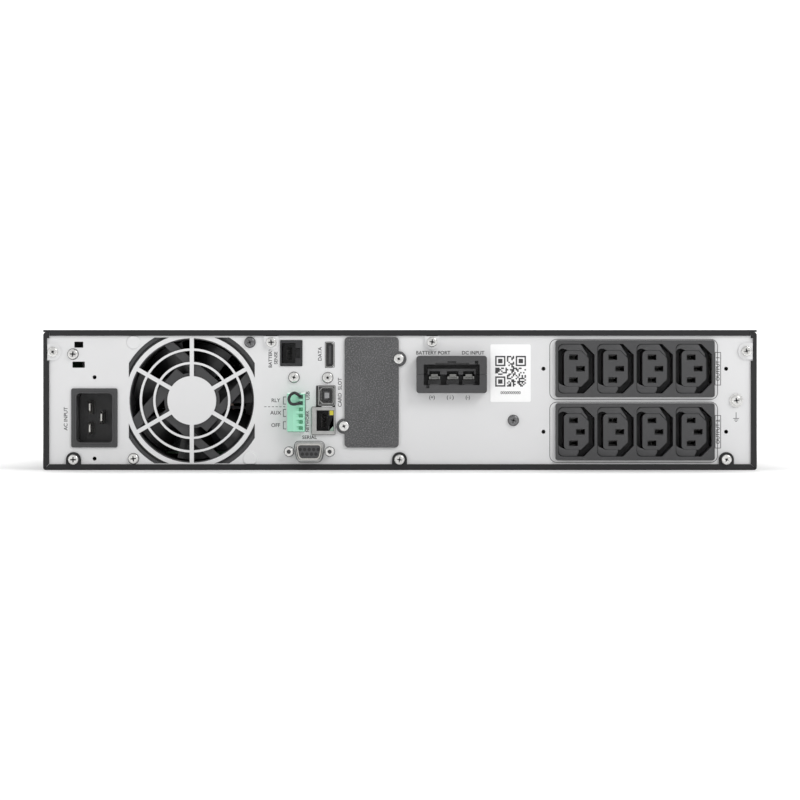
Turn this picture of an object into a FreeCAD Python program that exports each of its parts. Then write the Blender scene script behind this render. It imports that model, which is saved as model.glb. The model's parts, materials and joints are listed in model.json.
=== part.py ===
"""Two-rack-unit uninterruptible power supply, as the pieces it comes apart into on a bench.

Millimetres.  The rear panel looks towards -Y and the front bezel towards +Y; +X is to the right as one
faces the rear panel, and +Z is up.  The origin is the middle of the footprint, on the ground.
"""
import FreeCAD
import Part

import math
import os

V = FreeCAD.Vector

# ---- driving dimensions: case --------------------------------------------------------------------------
case_width = 438.0
case_height = 86.0
service_depth = 62.0        # behind the battery bay, for the outlets and their wires
bezel_depth = 28.0
sheet = 1.2                 # steel sheet of the tray, cover and rear panel
edge_fold = 3.6             # folded edge of the tray round the rear panel
notched_fold = 2.3          # the same edge beside the upper side screws
cover_lip = 3.6             # folded rear and front edge of the top cover
gap = 0.3                   # clearance between neighbouring pieces
moving_gap = 0.5            # clearance round pieces that slide
running_gap = 0.05          # radial clearance of the fan shaft in its bearing

# ---- driving dimensions: rear panel, from its left edge ------------------------------------------------
inlet_from_edge = 31.4
inlet_z = 32.0
inlet_width = 28.4
inlet_height = 36.3
inlet_cavity_width = 22.1
inlet_cavity_height = 30.2
inlet_recess = 17.0
inlet_stand = 1.0
inlet_hole_pitch = 50.0
fan_from_edge = 91.1
fan_z = 42.7
fan_size = 80.0
fan_depth = 25.0
fan_screw_pitch = 71.5
fan_opening_r = 38.3
rotor_r = 36.6
hub_r = 15.0
shaft_r = 1.5

# ---- driving dimensions: rear panel, from its middle ---------------------------------------------------
sense_x = -66.8
sense_z = 71.8
data_x = -43.1
data_z = 70.8
usb_x = -45.1
usb_z = 45.7
network_x = -47.0
network_z = 30.2
relay_x = -63.6
relay_z = 35.4
pole_pitch = 3.81
pole_count = 6
serial_x = -55.6
serial_z = 11.3
slot_x = -17.4
slot_z = 47.7
slot_width = 33.3
slot_height = 67.8
cage_depth = 150.0
battery_port_x = 31.6
battery_port_z = 58.6
battery_port_width = 43.1
battery_port_height = 22.8
battery_port_stand = 8.0
label_x = 67.9
label_z = 59.5
label_width = 24.8
label_height = 35.4

# ---- driving dimensions: rear panel, from its right edge -----------------------------------------------
outlet_block_from_edge = 26.0
outlet_z = (23.5, 62.2)
outlet_pitch = 24.05
outlets_per_block = 4
outlet_block_margin = 1.4   # block width over four pitches
outlet_block_height = 35.1
outlet_cavity_width = 22.4
outlet_cavity_height = 30.4
outlet_core_width = 15.0
outlet_core_height = 22.0
outlet_recess = 16.0
outlet_stand = 2.6
earth_from_edge = 12.6
earth_z = 42.7

# ---- driving dimensions: battery bay and front ---------------------------------------------------------
battery_length = 151.0
battery_width = 94.0
battery_height = 65.0
battery_rows = 3
battery_columns = 2
terminal_space = 12.0       # between the two columns, for the terminals and links
battery_gap = 0.6
plug_room = 24.0            # behind the pack, inside the tray
tray_clear = 14.0           # bay wall to the tray
pack_clear = 10.0           # pack to the tray's front plate
tray_inset = 3.0            # tray's front plate to the front frame's face
bay_side_room = 10.0        # right of the tray
tray_travel = 400.0
door_stand = 50.0           # how much further than the tray the door moves
bezel_wall = 2.5
button_r = 5.0
button_pitch = 15.0
button_travel = 0.8
plug_travel = 8.0

# ---- places that follow --------------------------------------------------------------------------------
left = -case_width / 2
right = case_width / 2
plug_stand = 9.0            # six-pole plug, out of the panel
jumper_r = 0.9
jumper_reach = 6.0
rear_reach = plug_stand - sheet
pack_length = battery_rows * (battery_length + battery_gap)
case_depth = 2 * sheet + service_depth + tray_clear + plug_room + pack_length + pack_clear + tray_inset
rear_face = (rear_reach - case_depth - bezel_depth) / 2
panel_face = rear_face + sheet
panel_back = panel_face + sheet
front_face = rear_face + case_depth
bezel_face = front_face + bezel_depth
inlet_x = left + inlet_from_edge
fan_x = left + fan_from_edge
outlet_block_width = outlets_per_block * outlet_pitch + outlet_block_margin
outlet_x = right - outlet_block_from_edge - outlet_block_width / 2
earth_x = right - earth_from_edge
bay_rear = panel_back + service_depth
tray_width = battery_columns * battery_width + terminal_space + 2 * (sheet + gap)
tray_right = right - sheet - bay_side_room
tray_left = tray_right - tray_width
bay_left = tray_left - moving_gap - sheet
tray_floor = sheet + moving_gap
battery_floor = tray_floor + sheet
tray_rear = bay_rear + tray_clear
tray_front = front_face - tray_inset
tray_plate_top = battery_floor + battery_height + 6.0


# ---- shape helpers -------------------------------------------------------------------------------------
def outline(points, radii):
    """Face in the X-Z plane; a positive radius rounds its corner, a negative one cuts it off straight."""
    corners = []
    count = len(points)
    for i in range(count):
        here = V(points[i][0], 0, points[i][1])
        back = V(points[i - 1][0], 0, points[i - 1][1]).sub(here).normalize()
        ahead = V(points[(i + 1) % count][0], 0, points[(i + 1) % count][1]).sub(here).normalize()
        radius = radii[i]
        if radius == 0:
            corners.append((here, here, None))
        elif radius < 0:
            corners.append((here - back * radius, here - ahead * radius, "cut"))
        else:
            half = back.getAngle(ahead) / 2
            trim = radius / math.tan(half)
            middle = here + (back + ahead).normalize() * (radius / math.sin(half) - radius)
            corners.append((here + back * trim, here + ahead * trim, middle))
    edges = []
    for i in range(count):
        start, stop, middle = corners[i]
        if middle == "cut":
            edges.append(Part.LineSegment(start, stop).toShape())
        elif middle is not None:
            edges.append(Part.Arc(start, middle, stop).toShape())
        following = corners[(i + 1) % count][0]
        if stop.distanceToPoint(following) > 1e-6:
            edges.append(Part.LineSegment(stop, following).toShape())
    return Part.Face(Part.Wire(edges))


def slab(face, y0, y1):
    """An X-Z face carried from y0 to y1."""
    moved = face.copy()
    moved.translate(V(0, y0, 0))
    return moved.extrude(V(0, y1 - y0, 0))


def rounded(x, z, width, height, radius):
    """Rounded rectangle round (x, z); radius may be four values from the lower left, anticlockwise."""
    radii = radius if isinstance(radius, tuple) else (radius,) * 4
    x0, x1 = x - width / 2, x + width / 2
    z0, z1 = z - height / 2, z + height / 2
    return outline(((x0, z0), (x1, z0), (x1, z1), (x0, z1)), radii)


def box(x0, x1, y0, y1, z0, z1):
    return Part.makeBox(x1 - x0, y1 - y0, z1 - z0, V(x0, y0, z0))


def rod(x, z, radius, y0, y1):
    """Round bar along Y."""
    return Part.makeCylinder(radius, y1 - y0, V(x, y0, z), V(0, 1, 0))


def post(x, y, radius, z0, z1):
    """Round bar along Z."""
    return Part.makeCylinder(radius, z1 - z0, V(x, y, z0), V(0, 0, 1))


def fuse(shapes):
    """One solid from touching shapes."""
    return shapes[0].multiFuse(shapes[1:]).removeSplitter() if len(shapes) > 1 else shapes[0]


def cut(shape, tools):
    return shape.cut(Part.makeCompound(tools)) if tools else shape


def save(name, shape):
    """Writes one node and prints its solids and volume."""
    bad = [s for s in shape.Solids if not s.isValid() or s.Volume <= 0]
    print(f"{name:26s} solids {len(shape.Solids):3d}  volume {shape.Volume / 1000:9.2f} cm3"
          f"{'  BAD' if bad or not shape.Solids else ''}")
    shape.exportStep(f"parts/{name}.step")


def group(shapes):
    return Part.makeCompound(shapes)


def turned(shape, axis, angle, at):
    """A copy turned about the origin, then moved to at."""
    copy = shape.copy()
    copy.Placement = FreeCAD.Placement(V(*at), FreeCAD.Rotation(V(*axis), angle))
    return copy


# ---- screws, along +Y with the seat at the origin ------------------------------------------------------
def pan_screw(head_r, head_height, shank_r, length):
    """Pan head with a crowned edge and a cross recess, and its shank."""
    head = Part.makeCylinder(head_r, head_height, V(0, -head_height, 0), V(0, 1, 0))
    rim = [e for e in head.Edges if abs(e.BoundBox.YMax + head_height) < 1e-6 and e.Length > head_r]
    head = head.makeFillet(head_height * 0.45, rim)
    arm = head_r * 0.55
    slit = head_r * 0.14
    depth = head_height * 0.6
    cross = [box(-arm, arm, -head_height - 1, depth - head_height, -slit, slit),
             box(-slit, slit, -head_height - 1, depth - head_height, -arm, arm)]
    return fuse([cut(head, cross), Part.makeCylinder(shank_r, length, V(0, 0, 0), V(0, 1, 0))])


def flat_screw(head_r, shank_r, length):
    """Countersunk screw whose flat head ends at the seat plane."""
    cone = Part.makeCone(head_r, shank_r, head_r - shank_r, V(0, 0, 0), V(0, 1, 0))
    arm = head_r * 0.5
    slit = head_r * 0.13
    cross = [box(-arm, arm, -1, 0.9, -slit, slit),
             box(-slit, slit, -1, 0.9, -arm, arm)]
    return fuse([cut(cone, cross), Part.makeCylinder(shank_r, length, V(0, 0, 0), V(0, 1, 0))])


screw_head_r = 3.15
screw_head_height = 1.9
screw_shank_r = 1.5
panel_screw = pan_screw(screw_head_r, screw_head_height, screw_shank_r, 7.0)

tab_half = 3.2              # joggled tabs behind the raised pads
flat_head_r = 2.6

# ---- where the screws sit ------------------------------------------------------------------------------
tab_r = 4.6
tab_screws = [(left + 18.6, 6.4), (-0.3, 6.4), (right - 18.7, 6.4)]
side_screws = [(left + 6.0, case_height - 13.5), (right - 6.4, case_height - 13.0)]
top_screws = [(-79.0, case_height - 7.6), (19.7, case_height - 7.4)]
pad_r = 4.5
lug_screw = (left + 18.2, 71.2)
bracket_screws = [(-65.1, 56.9), (-44.4, 56.7)]
slot_screws = [(slot_x + slot_width / 2, slot_z + 20.5), (slot_x - slot_width / 2 - 0.3, slot_z - 20.8)]
dark_screw = (69.6, 30.5)
fan_half = fan_screw_pitch / 2
fan_screws = [(fan_x + fan_half, fan_z + fan_half), (fan_x - fan_half, fan_z - fan_half)]
fan_blanks = [(fan_x - fan_half, fan_z + fan_half), (fan_x + fan_half, fan_z - fan_half)]
outlet_holes = [(outlet_x + side * (outlet_block_width / 2 + 7.3), z) for z in outlet_z for side in (-1, 1)]
inlet_holes = [(inlet_x, inlet_z - inlet_hole_pitch / 2), (inlet_x, inlet_z + inlet_hole_pitch / 2)]
wire_slots = [(left + 21.7, 77.0, 5.5, 3.7), (left + 21.6, 64.7, 7.7, 3.8)]


# ---- case ----------------------------------------------------------------------------------------------
def notch_box(x, y0, y1, deep):
    """Stretch of a side edge beside an upper side screw, deep from the outer face."""
    z = case_height - 12.0
    if x < 0:
        return box(left - 1, left + deep, y0, y1, z - 7, z + 7)
    return box(right - deep, right + 1, y0, y1, z - 7, z + 7)


def make_bottom_tray():
    """Floor, sides, folded rear and front edges, and the screw tabs of the rear edge."""
    top = case_height - sheet - gap / 2
    bend = 1.8
    u_shape = outline(((left, 0), (right, 0), (right, top), (right - 11, top), (right - 11, top - sheet),
                       (right - sheet, top - sheet), (right - sheet, sheet), (left + sheet, sheet),
                       (left + sheet, top - sheet), (left + 11, top - sheet), (left + 11, top), (left, top)),
                      (bend, bend, bend, 0, 0, bend - sheet, bend - sheet, bend - sheet, bend - sheet,
                       0, 0, bend))
    shell = slab(u_shape, rear_face, front_face)
    shell = cut(shell, [box(left + sheet, right - sheet, rear_face - 1, panel_back + gap,
                            top - 2 * sheet, top + 1)])
    rear_outer = outline(((left, 0), (right, 0), (right, top), (left, top)), (bend, bend, bend, bend))
    window = box(left + edge_fold, right - edge_fold, rear_face - 1, panel_face + 1, edge_fold, top + 1)
    fold = cut(slab(rear_outer, rear_face, panel_face), [window])
    notches = [cut(notch_box(x, rear_face, panel_face, edge_fold + 1),
                   [notch_box(x, rear_face - 1, panel_face + 1, notched_fold)]) for x in (left, right)]
    fold = cut(fold, notches)
    tabs = []
    for x, z in tab_screws:
        corners = ((x - tab_r, 1), (x + tab_r, 1), (x + tab_r, z + tab_r), (x - tab_r, z + tab_r))
        tabs.append(slab(outline(corners, (0, 0, tab_r - 0.05, tab_r - 0.05)), rear_face, panel_face))
    joggles = []
    for x, z in side_screws:
        joggles.append(slab(side_pad(x, z, tab_half, math.copysign(right - 0.1, x)), panel_face, panel_back))
    y1 = front_face - sheet - gap
    ears = []
    for x, z in frame_screw_places:
        x0, x1 = sorted((math.copysign(right - bay_side_room + 0.5, x), math.copysign(right - 0.5, x)))
        ears.append(box(x0, x1, y1 - sheet, y1, z - 6, z + 6))
    shell = fuse([shell, fold] + tabs + joggles + ears)
    holes = [rod(x, z, screw_shank_r + 0.1, rear_face - 1, panel_back + 1)
             for x, z in tab_screws + side_screws]
    mitre = 0.35
    for side in (-1, 1):
        corner = right * side
        slit = box(-mitre / 2, mitre / 2, rear_face - 1, panel_face, 0.9, edge_fold * 1.6)
        slit.rotate(V(0, 0, 0), V(0, 1, 0), -45 * side)
        slit.translate(V(corner, 0, 0))
        holes.append(slit)
        for y in ear_hole_y:
            for z in ear_hole_z:
                holes.append(Part.makeCylinder(ear_hole_r, 3 * sheet, V(corner - side * 2 * sheet, y, z),
                                               V(side, 0, 0)))
        for y in rail_hole_y:
            holes.append(Part.makeCylinder(ear_hole_r, 3 * sheet,
                                           V(corner - side * 2 * sheet, y, rail_hole_z), V(side, 0, 0)))
    for x, y in cover_screw_places:
        holes.append(post(x, y, screw_shank_r + 0.1, top - 2 * sheet, top + 1))
    for x, z in frame_screw_places:
        holes.append(rod(x, z, screw_shank_r + 0.1, y1 - 2 * sheet, y1 + 1))
    return cut(shell, holes)


ear_hole_r = 1.65           # tapped M4
ear_hole_y = (front_face - 42.0, front_face - 17.0)
ear_hole_z = (18.0, 68.0)
rail_hole_y = (rear_face + 100.0, rear_face + 340.0)
rail_hole_z = 43.0
cover_screw_places = [(side * (right - 6.0), y) for side in (-1, 1)
                      for y in (rear_face + 40, (rear_face + front_face) / 2, front_face - 40)]
frame_screw_places = [(side * (right - 7.0), z) for side in (-1, 1) for z in (9.0, case_height - 11.0)]


def make_top_cover():
    """Flat cover with a rear and a front lip, and joggled tabs behind the upper pads of the rear panel."""
    z0 = case_height - sheet
    plate = box(left, right, rear_face, front_face - gap, z0, case_height)
    lip = box(left + edge_fold + gap, right - edge_fold - gap, rear_face, panel_face,
              case_height - cover_lip, z0)
    front_lip = box(left + 14, right - 14, front_face - sheet * 2 - gap, front_face - sheet - gap,
                    case_height - cover_lip, z0)
    tabs = [slab(u_pad(x, z, tab_half, z0 + 0.1), panel_face, panel_back) for x, z in top_screws]
    shell = fuse([plate, lip, front_lip] + tabs)
    holes = [rod(x, z, screw_shank_r + 0.1, rear_face - 1, panel_back + 1) for x, z in top_screws]
    for x, y in cover_screw_places:
        holes.append(post(x, y, screw_shank_r + 0.1, z0 - 1, case_height + 1))
        holes.append(Part.makeCone(screw_shank_r, flat_head_r + 0.1, flat_head_r + 0.1 - screw_shank_r,
                                   V(x, y, case_height - flat_head_r - 0.1 + screw_shank_r), V(0, 0, 1)))
    return cut(shell, holes)


def u_pad(x, z, half_width, top):
    """Outline of a raised pad round an upper screw, open at the top."""
    return outline(((x - half_width, z - half_width), (x + half_width, z - half_width),
                    (x + half_width, top), (x - half_width, top)),
                   (half_width - 0.05, half_width - 0.05, 0, 0))


def side_pad(x, z, half_width, edge):
    """Outline of a raised pad round a side screw, open at the edge it is nearest."""
    far = x - math.copysign(half_width, edge)
    radius = half_width - 0.05
    if edge < 0:
        points = ((edge, z - half_width), (far, z - half_width),
                  (far, z + half_width), (edge, z + half_width))
        return outline(points, (0, radius, radius, 0))
    points = ((far, z - half_width), (edge, z - half_width), (edge, z + half_width), (far, z + half_width))
    return outline(points, (radius, 0, 0, radius))


fan_square = 38.7           # half width of the pierced field round the fan
fan_corner_r = 45.0
guard_web = 1.4
guard_rings = (23.0, 31.3)
guard_rim_r = 41.1
spoke_width = 2.5


def make_fan_guard_cuts():
    """What the press takes out of the panel round the fan, leaving rings, spokes and a middle disc."""
    field = slab(rounded(fan_x, fan_z, 2 * fan_square, 2 * fan_square, 0), panel_face - 1, panel_back + 1)
    field = field.common(rod(fan_x, fan_z, fan_corner_r, panel_face - 1, panel_back + 1))
    kept = [cut(rod(fan_x, fan_z, guard_rim_r, panel_face - 1, panel_back + 1),
                [rod(fan_x, fan_z, fan_opening_r, panel_face - 1, panel_back + 1)]),
            rod(fan_x, fan_z, hub_r, panel_face - 1, panel_back + 1)]
    for radius in guard_rings:
        kept.append(cut(rod(fan_x, fan_z, radius + guard_web / 2, panel_face - 1, panel_back + 1),
                        [rod(fan_x, fan_z, radius - guard_web / 2, panel_face - 1, panel_back + 1)]))
    for i in range(3):
        spoke = box(-fan_opening_r - 1, fan_opening_r + 1, panel_face - 1, panel_back + 1,
                    -spoke_width / 2, spoke_width / 2)
        spoke.rotate(V(0, 0, 0), V(0, 1, 0), 30 + 60 * i)
        spoke.translate(V(fan_x, 0, fan_z))
        kept.append(spoke)
    return cut(field, kept)


def db_shape(x, z, width, height):
    """Outline of a nine-pole serial connector, wider at the top."""
    slope = height * math.tan(math.radians(10))
    corner = min(2.4, height * 0.27)
    return outline(((x - width / 2 + slope, z - height / 2), (x + width / 2 - slope, z - height / 2),
                    (x + width / 2, z + height / 2), (x - width / 2, z + height / 2)), (corner,) * 4)


def usb_shape(x, z, width, height):
    """Square data socket with two corners cut off on the left."""
    return rounded(x, z, width, height, (-height * 0.17, 0.6, 0.6, -height * 0.17))


def data_shape(x, z, width, height):
    """Narrow upright data socket with its right corners cut off."""
    return rounded(x, z, width, height, (0.4, -width * 0.3, -width * 0.3, 0.4))


serial_width, serial_height = 18.4, 11.0
usb_width, usb_height = 10.4, 12.0
usb_mouth_width, usb_mouth_height = 7.9, 9.3
data_width, data_height = 5.3, 15.4
network_width, network_height = 14.1, 16.8
sense_width, sense_height = 13.5, 15.8
sense_stand = 0.8
relay_width = 10.7
relay_height = pole_count * pole_pitch + 0.5
jack_screw_pitch = 25.0


def make_rear_panel():
    """Light steel panel behind the folded edges, with raised screw pads and every opening."""
    x0, x1 = left + sheet + gap, right - sheet - gap
    z0, z1 = sheet + gap, case_height - sheet - gap
    face = slab(outline(((x0, z0), (x1, z0), (x1, z1), (x0, z1)), (1.5,) * 4), panel_face, panel_back)
    foot = cut(box(x0 + 4, x1 - 4, panel_back, panel_back + 10, z0, z0 + sheet),
               [box(fan_x - fan_size / 2 - 1, fan_x + fan_size / 2 + 1, panel_back, panel_back + 11,
                    0, z0 + 2)])
    pads = []
    pockets = []
    lip_z = case_height - cover_lip - gap
    for x, z in top_screws:
        pads.append(slab(u_pad(x, z, pad_r, lip_z), rear_face, panel_face))
        pockets.append(slab(u_pad(x, z, tab_half + gap, z1 + 1), panel_face, panel_back + 1))
    for x, z in side_screws:
        outer = math.copysign(right - notched_fold - gap, x)
        pads.append(slab(side_pad(x, z, pad_r + 0.5, outer), rear_face, panel_face))
        pockets.append(slab(side_pad(x, z, tab_half + gap, math.copysign(right, x)),
                            panel_face, panel_back + 1))
    uncovered = box(left, right, rear_face - 1, panel_back, edge_fold + gap, lip_z)
    for x, z in fan_blanks:
        pads.append(Part.makeCone(4.6, 3.8, 0.7, V(x, panel_face, z), V(0, -1, 0)).common(uncovered))
    face = fuse([face, foot] + pads)
    holes = pockets + [make_fan_guard_cuts()]
    y0, y1 = rear_face - 1, panel_back + 1
    for x, z in tab_screws + side_screws + top_screws + bracket_screws + slot_screws + fan_screws:
        holes.append(rod(x, z, screw_shank_r + 0.1, y0, y1))
    for x, z in (lug_screw, dark_screw, (earth_x, earth_z)):
        holes.append(rod(x, z, screw_shank_r + 0.1, y0, y1))
    for x, z in outlet_holes + inlet_holes:
        holes.append(rod(x, z, 1.25, y0, y1))
    for x, z, width, height in wire_slots:
        holes.append(slab(rounded(x, z, width, height, 0.4), y0, y1))
    holes.append(slab(rounded(inlet_x, inlet_z, inlet_width - 2.4, inlet_height - 2.4, 3), y0, y1))
    holes.append(slab(rounded(sense_x, sense_z, sense_width + gap, sense_height + gap, 0.5), y0, y1))
    holes.append(slab(data_shape(data_x, data_z, data_width + 2 * gap, data_height + 2 * gap), y0, y1))
    holes.append(slab(rounded(usb_x - 0.5, usb_z - 0.6, usb_width + 1.4, usb_height + 1.6, 0.5), y0, y1))
    holes.append(slab(rounded(network_x, network_z, network_width + gap, network_height + gap, 0.5), y0, y1))
    holes.append(slab(rounded(relay_x, relay_z, relay_width + 2 * gap, relay_height + 2 * gap, 0.5), y0, y1))
    holes.append(slab(db_shape(serial_x, serial_z, serial_width + gap, serial_height + gap), y0, y1))
    for side in (-1, 1):
        holes.append(rod(serial_x + side * jack_screw_pitch / 2, serial_z, screw_shank_r + 0.2, y0, y1))
    holes.append(slab(rounded(slot_x, slot_z, slot_width - 4.5, slot_height - 5, 1), y0, y1))
    holes.append(slab(rounded(battery_port_x, battery_port_z, battery_port_width - 3,
                              battery_port_height - 3, 1.5), y0, y1))
    for z in outlet_z:
        holes.append(slab(rounded(outlet_x, z, outlet_block_width - 3, outlet_block_height - 3, 1), y0, y1))
    return cut(face, holes)


# ---- front ---------------------------------------------------------------------------------------------
bay_opening_top = tray_plate_top + moving_gap
vent_rows = 9
vent_pitch = 7.6
vent_height = 4.2
window_width = 62.0
window_height = 30.0
panel_middle = left + 70.0  # middle of the window and the buttons
window_z = 57.0
button_z = 24.0
button_x = [panel_middle + (i - 1.5) * button_pitch for i in range(4)]
light_x = [panel_middle + (i - 1.5) * 9.0 for i in range(4)]
light_z = 36.5
bezel_split = bay_left - 3.0
bezel_round = 7.0
grip_width = 46.0


def make_front_frame():
    """Steel plate between the case and the bezel, open to the battery bay, the vents and the controls."""
    plate = box(left + sheet + gap, right - sheet - gap, front_face - sheet, front_face,
                sheet + gap, case_height - 2 * sheet - 2 * gap)
    foot = box(left + 16, bay_left - 10, front_face - 12, front_face - sheet, sheet + gap, 2 * sheet + gap)
    holes = [box(tray_left - moving_gap, tray_right + moving_gap, front_face - 13, front_face + 1,
                 tray_floor - moving_gap, bay_opening_top),
             slab(rounded(panel_middle, (window_z + button_z) / 2, window_width + 14, 62, 2),
                  front_face - 13, front_face + 1)]
    for i in range(6):
        for j in range(4):
            holes.append(slab(rounded(vent_x0 + 8 + i * 17.5, 16 + j * 18.0, 12.5, 12, 2),
                              front_face - 13, front_face + 1))
    for x, z in stud_places:
        holes.append(rod(x, z, stud_ball_r + moving_gap, front_face - 3, front_face + 1))
    for x, z in frame_screw_places:
        holes.append(rod(x, z, screw_shank_r, front_face - 3, front_face + 1))
    return cut(fuse([plate, foot]), holes)


vent_x0 = panel_middle + 46.0
vent_x1 = bezel_split - 12.0
stud_ball_r = 2.6
stud_places = [(tray_left + 20, bay_opening_top + 4.9), (tray_right - 20, bay_opening_top + 4.9),
               (right - 6.5, 21.0)]


def bezel_shell(x0, x1):
    """Hollow moulded front with rounded front edges, open at the back."""
    outer = box(x0, x1, front_face, bezel_face, 0, case_height)
    edges = [e for e in outer.Edges if e.BoundBox.YMin > bezel_face - 1e-6]
    outer = outer.makeFillet(bezel_round, edges)
    inner = box(x0 + bezel_wall, x1 - bezel_wall, front_face - 1, bezel_face - bezel_wall,
                bezel_wall, case_height - bezel_wall)
    edges = [e for e in inner.Edges if e.BoundBox.YMin > bezel_face - bezel_wall - 1e-6]
    return outer.cut(inner.makeFillet(bezel_round - bezel_wall, edges))


def louvres(x0, x1):
    """Slots through the front, one under the other, with rounded ends."""
    middle = case_height / 2
    return [slab(rounded((x0 + x1) / 2, middle + (i - (vent_rows - 1) / 2) * vent_pitch, x1 - x0, vent_height,
                         vent_height / 2 - 0.05), bezel_face - bezel_wall - 5, bezel_face + 1)
            for i in range(vent_rows)]


def make_front_bezel():
    """Fixed half of the front: louvres, window, four button holes and four light holes."""
    shell = bezel_shell(left, bezel_split - gap)
    holes = louvres(vent_x0, vent_x1)
    holes.append(slab(rounded(panel_middle, window_z, window_width, window_height, 3),
                      bezel_face - bezel_wall - 5, bezel_face + 1))
    for x in button_x:
        holes.append(rod(x, button_z, button_r + 0.35, bezel_face - bezel_wall - 5, bezel_face + 1))
    for x in light_x:
        holes.append(rod(x, light_z, 1.6, bezel_face - bezel_wall - 5, bezel_face + 1))
    bosses = [rod(x, z, 3.2, front_face, bezel_face - bezel_wall)
              for x in (left + 20.0, panel_middle + 41.5) for z in (7.5, case_height - 7.5)]
    bosses.append(rod(bezel_split - 8.0, case_height / 2, 3.2, front_face, bezel_face - bezel_wall))
    return cut(fuse([shell] + bosses), holes)


def make_battery_door():
    """Snap-off half of the front: louvres, a finger grip at its inner end and ball studs behind."""
    shell = bezel_shell(bezel_split + gap, right)
    holes = louvres(bezel_split + grip_width + 16, right - 14)
    grip = rounded(bezel_split + grip_width / 2 + 6, case_height / 2, grip_width - 12, 44, 6)
    pocket = slab(rounded(bezel_split + grip_width / 2 + 6, case_height / 2, grip_width - 7, 49, 8),
                  bezel_face - 14, bezel_face - 0.5)
    shell = fuse([shell, pocket])
    holes.append(slab(grip, bezel_face - 11.5, bezel_face + 1))
    studs = []
    for x, z in stud_places:
        studs.append(rod(x, z, stud_ball_r + 1, front_face, bezel_face - bezel_wall))
        studs.append(rod(x, z, stud_ball_r - 0.6, front_face - 3.5, front_face + 1))
        studs.append(Part.makeSphere(stud_ball_r, V(x, front_face - 3.5, z)))
    return cut(fuse([shell] + studs), holes)


def make_button(x):
    """Cap with a domed front, a skirt behind the bezel and a stem to its switch."""
    front = bezel_face + 1.2
    back = bezel_face - bezel_wall - 2 * button_travel
    cap = rod(x, button_z, button_r, back - 1.0, front)
    rim = [e for e in cap.Edges if abs(e.BoundBox.YMin - front) < 1e-6 and e.Length > button_r]
    cap = cap.makeFillet(1.0, rim)
    skirt = rod(x, button_z, button_r + 1.2, back - 2.0, back - 0.6)
    stem = rod(x, button_z, 1.6, switch_face + button_travel + gap, back - 1.0)
    return fuse([cap, skirt, stem])


board_face = front_face + 12.0
switch_face = board_face + 4.0


def make_front_board():
    """Circuit board behind the controls with four switches and a processor."""
    board = box(panel_middle - 37, panel_middle + 37, board_face - 1.6, board_face, 12, 74)
    parts = [board]
    for x in button_x:
        parts.append(box(x - 3, x + 3, board_face, board_face + 3.0, button_z - 3, button_z + 3))
        parts.append(rod(x, button_z, 1.5, board_face + 3.0, switch_face))
    for x in light_x:
        parts.append(box(x - 1.5, x + 1.5, board_face, board_face + 1.2, light_z - 1, light_z + 1))
    parts.append(box(panel_middle - 7, panel_middle + 7, board_face - 3.0, board_face - 1.6, 40, 54))
    return fuse(parts)


def make_display_module():
    """Display module in its frame, between the board and the window."""
    frame = box(panel_middle - window_width / 2 - 2, panel_middle + window_width / 2 + 2,
                board_face + 0.2, bezel_face - bezel_wall - 1.5 - gap, window_z - 14, window_z + 15)
    return frame


def make_display_window():
    """Clear window set in the front, with a flange behind it."""
    face = slab(rounded(panel_middle, window_z, window_width - gap, window_height - gap, 2.9),
                bezel_face - bezel_wall - 0.1, bezel_face - 0.4)
    flange = slab(rounded(panel_middle, window_z, window_width + 4, window_height + 3, 3),
                  bezel_face - bezel_wall - 1.4, bezel_face - bezel_wall)
    return fuse([face, flange])


# ---- battery pack --------------------------------------------------------------------------------------
battery_x = [tray_left + sheet + gap + i * (battery_width + terminal_space) for i in range(battery_columns)]
battery_y = [tray_front - pack_clear - battery_length - i * (battery_length + battery_gap)
             for i in range(battery_rows)]
battery_top = battery_floor + battery_height


def make_bay_wall():
    """Sheet wall beside and behind the battery bay, with a foot along the floor."""
    top = case_height - cover_lip - sheet
    foot = sheet + 0.05
    side = box(bay_left, bay_left + sheet, bay_rear, front_face - sheet - gap, foot, top)
    rear = box(bay_left, right - 2 * sheet, bay_rear, bay_rear + sheet, foot, top)
    rest = box(bay_left - 9, bay_left + sheet, bay_rear, front_face - sheet - gap, foot, foot + sheet)
    window = box(socket_x - 16, socket_x + 16, bay_rear - 1, bay_rear + sheet + 1,
                 socket_z - 10, socket_z + 10)
    return cut(fuse([side, rear, rest]), [window])


socket_x = (tray_left + tray_right) / 2
socket_z = 40.0


def make_battery_tray():
    """Sliding tray: floor, low sides, rear wall and the front plate that closes the bay."""
    floor = box(tray_left, tray_right, tray_rear, tray_front, tray_floor, battery_floor)
    sides = [box(x, x + sheet, tray_rear, tray_front, tray_floor, tray_floor + 24)
             for x in (tray_left, tray_right - sheet)]
    rear = box(tray_left, tray_right, tray_rear, tray_rear + sheet, tray_floor, tray_floor + 60)
    plate = box(tray_left, tray_right, tray_front - sheet, tray_front, tray_floor, tray_plate_top)
    window = box(socket_x - 16, socket_x + 16, tray_rear - 1, tray_rear + 2, socket_z - 10, socket_z + 10)
    holes = [window]
    for x in strap_x:
        holes.append(slab(rounded(x, 40, 4, 26, 1.5), tray_front - 3, tray_front + 1))
    for x in thumb_x:
        holes.append(rod(x, tray_plate_top - 8, 2.1, tray_front - 3, tray_front + 1))
    return cut(fuse([floor, rear, plate] + sides), holes)


strap_x = (socket_x - 45.0, socket_x + 45.0)
thumb_x = (tray_left + 10.0, tray_right - 10.0)


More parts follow.
